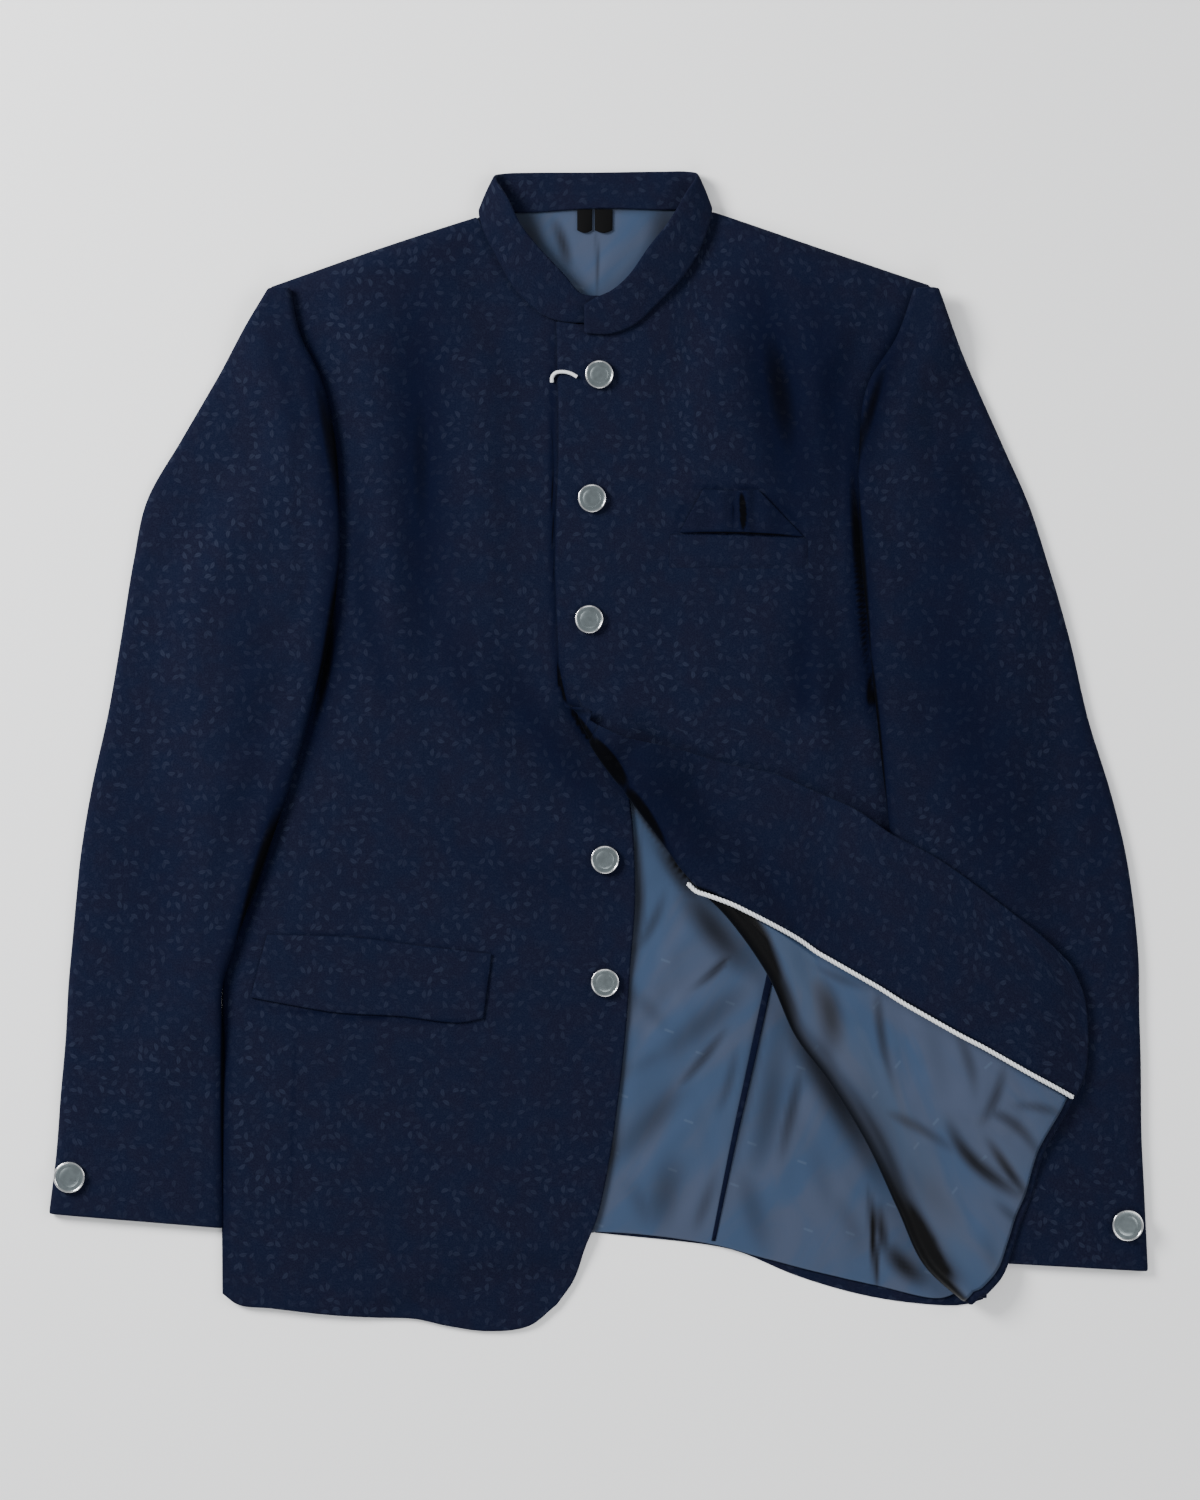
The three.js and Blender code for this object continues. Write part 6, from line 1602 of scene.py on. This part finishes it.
def build_sleeve(hand):
    """One sleeve: the top sleeve round both folds, and the under sleeve below."""
    rows = SLEEVES[hand]
    word = WORDS[hand]
    heights = mix(rows["y"][0], rows["y"][-1], edged(*SLEEVE_ALONG))
    inner, outer = read(rows, "y", heights, "inner"), read(rows, "y", heights, "outer")
    width = np.abs(outer - inner)
    reach, tall = sleeve_reach(heights), sleeve_height(heights)
    cuff = smoothstep(-heights, *CUFF_ALONG) * CUFF_SLANTS[hand]

    def place(across, rise):
        x = inner[:, None] + hand * across
        y = heights[:, None] + cuff[:, None] * (0.5 - across / width[:, None])
        base = sleeve_base(hand, x, np.broadcast_to(heights[:, None], x.shape))
        return np.stack([x, y, base + rise], axis=-1)

    angles = np.radians(np.linspace(-90, 90, FOLD_SIDES)[:-1])
    turn_across = reach[:, None] * (1 - np.cos(angles))[None, :]
    turn_rise = tall[:, None] / 2 * (1 + np.sin(angles))[None, :]
    flats = np.linspace(0, 1, SLEEVE_FLATS)
    flat_across = mix(reach[:, None], (width - reach)[:, None], flats[None, :])
    flat = place(flat_across, tall[:, None])
    away = np.minimum(flat_across, width[:, None] - flat_across)
    x = flat[..., 0]
    y = np.broadcast_to(heights[:, None], x.shape)
    relief = folds(SLEEVE_FOLDS, x, y) * smoothstep(away, *SLEEVE_FOLDS_CLEAR)
    fine = creases(SLEEVE_CREASES, x, y) + ripple(x, y, *SLEEVE_WAVE) + SLEEVE_LIFT
    flat[..., 2] += relief + fine * smoothstep(away, *SLEEVE_FINE_CLEAR)
    shell = np.concatenate([place(turn_across, turn_rise), flat,
                            place(width[:, None] - turn_across[:, ::-1], turn_rise[:, ::-1])], axis=1)
    run = run_across(shell)
    uv = np.stack([run * hand + inner[:, None], np.broadcast_to(heights[:, None], run.shape)], axis=-1)
    up = 1 if grid_normals(shell)[40, 30, 2] > 0 else -1
    middle = shell - grid_normals(shell) * up * SLEEVE_WALL / 2
    shade = shade_at(middle[..., 0], middle[..., 1])
    # Painted shade along the sleeve's fold beside the body, below its head
    edge_shadow = smoothstep(run, *SLEEVE_EDGE_SHADOW) * SLEEVE_EDGE_SHADE
    edge_shadow = edge_shadow * smoothstep(-y[:, :1], *SLEEVE_SHADOW_ALONG)
    piece = cloth(f"{word}_sleeve_top_cloth", middle, SLEEVE_WALL, uv, materials()["wool"],
                  shade=np.clip(shade + edge_shadow, 0, 1), flip=up < 0)
    cut, area = cut_of(middle)
    finish(piece, "wool", f"{word}_sleeve_top", sheet=cut, held="folded",
           rests_on=[f"{word}_front", "floor"], area=area)

    seam = reach + SLEEVE_SEAM_GAP
    across = mix(seam[:, None], (width - seam)[:, None], edged(*UNDER_SLEEVE_ACROSS)[None, :])
    under = place(across, SLEEVE_WALL / 2)
    uv = np.stack([under[..., 0] + UNDER_SLEEVE_SHIFT, under[..., 1]], axis=-1)
    piece = cloth(f"{word}_sleeve_under_cloth", under, SLEEVE_WALL, uv, materials()["wool"])
    cut, area = cut_of(under)
    finish(piece, "wool", f"{word}_sleeve_under", sheet=cut, rests_on=[f"{word}_front", "floor"], area=area)


def build_collar():
    """Stand collar, one band round the neck."""
    seam, edge = (catmull(stack(COLLAR, ends), COARSE_STEPS) for ends in (COLLAR_SEAM, COLLAR_EDGE))
    across = edged(*COLLAR_ACROSS)
    grid = mix(seam[:, None], edge[:, None], across[None, :, None])
    bow = np.sin(np.pi * across)[None, :, None] * grid_normals(grid)
    grid = grid + bow * COLLAR_BOW
    run = np.concatenate([[0], np.cumsum(np.linalg.norm(np.diff(grid[:, COLLAR_MEASURED], axis=0), axis=1))])
    even = np.ones_like(run)[:, None]
    uv = np.stack([run[:, None] * np.ones_like(across)[None], COLLAR_ACROSS[0] * across[None] * even], -1)
    piece = cloth("collar_cloth", grid, COLLAR_WALL, uv, materials()["wool"])
    flat, area = cut_of(grid)
    finish(piece, "wool", "collar", sheet=flat, held="folded",
           rests_on=["right_front", "left_front"], area=area)


def build_chest_pocket():
    """Welt of the chest pocket and the gathered tongue of cloth above it."""
    def sewn_down(x, y):
        return -WELT_SINK * np.maximum(1 - smoothstep(y, *WELT_SEWN_LOW), smoothstep(x, *WELT_SEWN_END))
    laid("chest_welt", WELT_BOTTOM, WELT_TOP, left_height, WELT_WALL, WELT_SIZE, sewn_down,
         step=TRIM_STEP, gap=WELT_GAP)

    def pleats(x, y):
        total = np.zeros(x.shape)
        for at, spread, height in stack(TONGUE_PLEATS, PLEAT):
            total += height * np.exp(-(((x - at) / spread) ** 2))
        return total
    laid("pocket_tongue", TONGUE_BOTTOM, TONGUE_TOP, left_height, LINING_WALL, TONGUE_SIZE, pleats,
         TONGUE_SHADE, TRIM_STEP)


def lathe(name, outline, x, y, z, sides, material):
    """A turned piece standing at a plan point, closed at its axis."""
    angles = np.linspace(0, 2 * np.pi, sides, endpoint=False)
    rings = [(r, h) for r, h in outline if r > 0]
    points = [(x, y, z + outline[0][1])]
    for r, h in rings:
        points += [(x + r * math.cos(a), y + r * math.sin(a), z + h) for a in angles]
    points.append((x, y, z + outline[-1][1]))
    faces = [(0, 1 + (k + 1) % sides, 1 + k) for k in range(sides)]
    for ring in range(len(rings) - 1):
        low, high = 1 + ring * sides, 1 + (ring + 1) * sides
        faces += [(low + k, low + (k + 1) % sides, high + (k + 1) % sides, high + k) for k in range(sides)]
    last = 1 + (len(rings) - 1) * sides
    faces += [(last + k, last + (k + 1) % sides, len(points) - 1) for k in range(sides)]
    return new_piece(name, points, faces, material=material)


def build_button(name, x, y, z, radius):
    """A shank button: polished raised rim round a satin face."""
    outline = [(r * radius, h * BUTTON_HEIGHT) for r, h in stack(BUTTON_OUTLINE, BUTTON_POINT)]
    piece = lathe(name + "_metal", outline, x, y, z, BUTTON_SIDES, materials()["rim"])
    piece.data.materials.append(materials()["face"])
    for face in piece.data.polygons:
        centre = face.center
        away = math.hypot(centre.x / MM - x, centre.y / MM - y)
        if away < RIM_FROM * radius and centre.z / MM > z + BUTTON_HEIGHT * FACE_FROM:
            face.material_index = 1
    finish(piece, "metal", name)


def build_buttons():
    """All buttons, on the highest point under each shank."""
    def under(height, x, y):
        spots = np.array([(0, 0), (1, 0), (-1, 0), (0, 1), (0, -1)], float) * BUTTON_FOOT
        return float(np.max(height(x + spots[:, 0], y + spots[:, 1])))
    for k, (x, y, left) in enumerate(stack(FRONT_BUTTONS, ("x", "y", "left"))):
        z = under(lambda a, b: front_top(LEFT if left else RIGHT, a, b), x, y) + SEAM_GAP
        build_button(f"front_button_{k + 1}", x, y, z, BUTTON_RADIUS)
    for x, y in stack(CUFF_BUTTONS):
        hand = int(np.sign(x))
        z = under(lambda a, b: sleeve_top(hand, a, b), x, y) + SEAM_GAP
        build_button(f"{WORDS[hand]}_cuff_button", x, y, z, CUFF_BUTTON_RADIUS)


def build_loop():
    """Cord loop round the front edge beside the top button."""
    on_right = FRONT_TOP + SEAM_GAP + LOOP_DIAMETER / 2
    on_left = on_right + LAP_RISE
    spots = [(x, y, (on_left if left else on_right) + up) for x, y, left, up in stack(LOOP, LOOP_POINT)]
    line = curve(np.array(spots, float))(np.linspace(0, 1, LOOP_STEPS))
    piece = cord_piece("top_loop_cord", line, LOOP_DIAMETER, LOOP_PITCH, False, materials()["cord"])
    finish(piece, "cord", "top_loop")


def build_label():
    """Bare label under the back neck, in two leaves."""
    across, along = edged(*LABEL_ACROSS), edged(*LABEL_ALONG)
    for k, (x0, x1) in enumerate(stack(LABEL_HALVES, LABEL_ENDS)):
        u, v = np.meshgrid(across, along)
        x, y = mix(x0, x1, u), mix(LABEL_BOTTOM, LABEL_TOP, v)
        y = y - LABEL_SAG * (1 - v) * np.sin(np.pi * u)
        z = (LINING_TOP + SEAM_GAP + LINING_WALL / 2 + LABEL_RISE
             + LABEL_CROWN * np.sin(np.pi * u) * (1 - v * LABEL_FLATTER))
        grid = np.stack([x, y, z], axis=-1)
        piece = cloth(f"neck_label_leaf_{k + 1}", grid, LABEL_WALL, plan_uv(grid), materials()["label"])
        flat, area = cut_of(grid)
        nodes = ("neck_label",) if k == 0 else ()
        finish(piece, "label", *nodes, sheet=flat, rests_on=["back_lining"], area=area)


# Stage

FLOOR_TONE, FLOOR_ROUGHNESS, ROOM_TINT, SENSOR_WIDTH = (0.86, 0.86, 0.86), 0.9, (0.93, 0.96, 1.0), 36.0
LIGHT = ("x", "y", "z", "size", "power")
LIGHTS = table(LIGHT, (-1.6, 0.9, 1.4, 1.0, 92), (1.8, 0.4, 1.7, 1.5, 26), (0.2, -1.7, 1.8, 1.5, 20))


def build_stage():
    """Plain pale floor, soft light and the camera straight above."""
    look = bpy.context.scene.jacket_stage
    size = look.floor_size / 2
    corners = np.array([(-size, -size, 0), (size, -size, 0), (size, size, 0), (-size, size, 0)]) / MM
    floor = new_piece("floor", corners, [(0, 1, 2, 3)], smooth=False)
    material = bpy.data.materials.new("Pale floor")
    material.use_nodes = True
    shader = material.node_tree.nodes["Principled BSDF"]
    shader.inputs["Base Color"].default_value = (*FLOOR_TONE, 1)
    shader.inputs["Roughness"].default_value = FLOOR_ROUGHNESS
    floor.data.materials.append(material)

    world = bpy.data.worlds.new("Soft room")
    world.use_nodes = True
    back = world.node_tree.nodes["Background"]
    back.inputs["Color"].default_value = (*ROOM_TINT, 1)
    back.inputs["Strength"].default_value = look.room_light
    bpy.context.scene.world = world
    for k, (x, y, z, wide, power) in enumerate(stack(LIGHTS, LIGHT)):
        data = bpy.data.lights.new(f"soft_{k + 1}", "AREA")
        data.shape = "DISK"
        data.size = wide
        data.energy = power * look.light_scale
        lamp = bpy.data.objects.new(f"soft_{k + 1}", data)
        lamp.location = (x, y, z)
        lamp.rotation_mode = "QUATERNION"
        lamp.rotation_quaternion = Vector((-x, -y, -z)).to_track_quat("-Z", "Y")
        bpy.context.scene.collection.objects.link(lamp)

    data = bpy.data.cameras.new("above")
    data.sensor_fit = "AUTO"
    data.sensor_width = SENSOR_WIDTH
    data.lens = data.sensor_width * look.camera_height / look.view_length
    camera = bpy.data.objects.new("above", data)
    camera.location = (look.view_x, look.view_y, look.camera_height)
    bpy.context.scene.collection.objects.link(camera)
    bpy.context.scene.camera = camera


# Properties, operators and panel

def tone(label, told, default):
    """A colour for the panel."""
    return FloatVectorProperty(name=label, description=told, subtype="COLOR", default=default)


class JacketColours(bpy.types.PropertyGroup):
    """Colours of the cloth and trim."""
    ground: tone("Ground", "Ground of the shell cloth", (0.0023, 0.0040, 0.0148))
    leaf: tone("Leaf", "Leaves of the shell cloth", (0.0104, 0.0140, 0.0300))
    # The lining's own blue-grey: its two tones drift into each other in broad bands as painted sheen
    lining_cool: tone("Lining, cool", "Cooler tone of the lining", (0.0290, 0.0490, 0.0930))
    lining_warm: tone("Lining, warm", "Greyer tone of the lining", (0.0395, 0.0520, 0.0870))
    cord: tone("Cord", "Piping and loop", (0.72, 0.74, 0.76))
    metal: tone("Rim", "Rims of the buttons", (0.68, 0.69, 0.69))
    face: tone("Face", "Faces of the buttons", (0.25, 0.29, 0.3))


class JacketStage(bpy.types.PropertyGroup):
    """Floor, light and camera."""
    floor_size: FloatProperty(
        name="Floor", description="Side of the square floor", default=12.0, unit="LENGTH")
    room_light: FloatProperty(
        name="Room light", description="Strength of the even light", default=0.5, min=0.0)
    light_scale: FloatProperty(
        name="Lamps", description="Strength of the soft lamps together", default=1.0, min=0.0)
    camera_height: FloatProperty(
        name="Camera height", description="Height of the camera above the floor", default=3.0, unit="LENGTH")
    view_length: FloatProperty(
        name="View", description="Length of floor that the frame's long side takes in", default=1.0455,
        unit="LENGTH")
    view_x: FloatProperty(
        name="View centre across", description="Middle of the frame across", default=0.00105, unit="LENGTH")
    view_y: FloatProperty(
        name="View centre along", description="Middle of the frame along", default=0.0007, unit="LENGTH")


class JACKET_OT_back(bpy.types.Operator):
    """Lay the two halves of the back and their lining"""
    bl_idname = "jacket.back"
    bl_label = "Back and lining"

    def execute(self, context):
        build_back()
        build_back_lining()
        build_label()
        return {"FINISHED"}


class JACKET_OT_right_front(bpy.types.Operator):
    """Lay the right front with its pocket flap"""
    bl_idname = "jacket.right_front"
    bl_label = "Right front"

    def execute(self, context):
        build_right_front()
        return {"FINISHED"}


class JACKET_OT_left_front(bpy.types.Operator):
    """Lay the left front, its lower part turned back"""
    bl_idname = "jacket.left_front"
    bl_label = "Left front"

    def execute(self, context):
        build_left_front()
        build_chest_pocket()
        return {"FINISHED"}


class JACKET_OT_sleeves(bpy.types.Operator):
    """Lay both sleeves"""
    bl_idname = "jacket.sleeves"
    bl_label = "Sleeves"

    def execute(self, context):
        for hand in (RIGHT, LEFT):
            build_sleeve(hand)
        return {"FINISHED"}


class JACKET_OT_collar(bpy.types.Operator):
    """Stand the collar round the neck"""
    bl_idname = "jacket.collar"
    bl_label = "Collar"

    def execute(self, context):
        build_collar()
        return {"FINISHED"}


class JACKET_OT_trim(bpy.types.Operator):
    """Sew on the buttons and the cord loop"""
    bl_idname = "jacket.trim"
    bl_label = "Buttons and loop"

    def execute(self, context):
        build_buttons()
        build_loop()
        return {"FINISHED"}


class JACKET_OT_stage(bpy.types.Operator):
    """Set the floor, the light and the camera"""
    bl_idname = "jacket.stage"
    bl_label = "Stage"

    def execute(self, context):
        build_stage()
        return {"FINISHED"}


OPERATORS = (JACKET_OT_stage, JACKET_OT_back, JACKET_OT_right_front, JACKET_OT_left_front,
             JACKET_OT_sleeves, JACKET_OT_collar, JACKET_OT_trim)


class JACKET_PT_panel(bpy.types.Panel):
    """Lists the steps and the colours."""
    bl_label = "Jacket"
    bl_idname = "JACKET_PT_panel"
    bl_space_type = "VIEW_3D"
    bl_region_type = "UI"
    bl_category = "Jacket"

    def draw(self, context):
        for operator in OPERATORS:
            self.layout.operator(operator.bl_idname)
        for group in (context.scene.jacket_colours, context.scene.jacket_stage):
            for name in group.bl_rna.properties.keys():
                if name not in ("rna_type", "name"):
                    self.layout.prop(group, name)


CLASSES = (JacketColours, JacketStage, *OPERATORS, JACKET_PT_panel)


def register():
    for item in CLASSES:
        bpy.utils.register_class(item)
    bpy.types.Scene.jacket_colours = PointerProperty(type=JacketColours)
    bpy.types.Scene.jacket_stage = PointerProperty(type=JacketStage)


def unregister():
    del bpy.types.Scene.jacket_stage
    del bpy.types.Scene.jacket_colours
    for item in reversed(CLASSES):
        bpy.utils.unregister_class(item)


def main():
    register()
    bpy.ops.jacket.stage()
    bpy.ops.jacket.back()
    bpy.ops.jacket.right_front()
    bpy.ops.jacket.left_front()
    bpy.ops.jacket.sleeves()
    bpy.ops.jacket.collar()
    bpy.ops.jacket.trim()


if __name__ == "__main__":
    main()
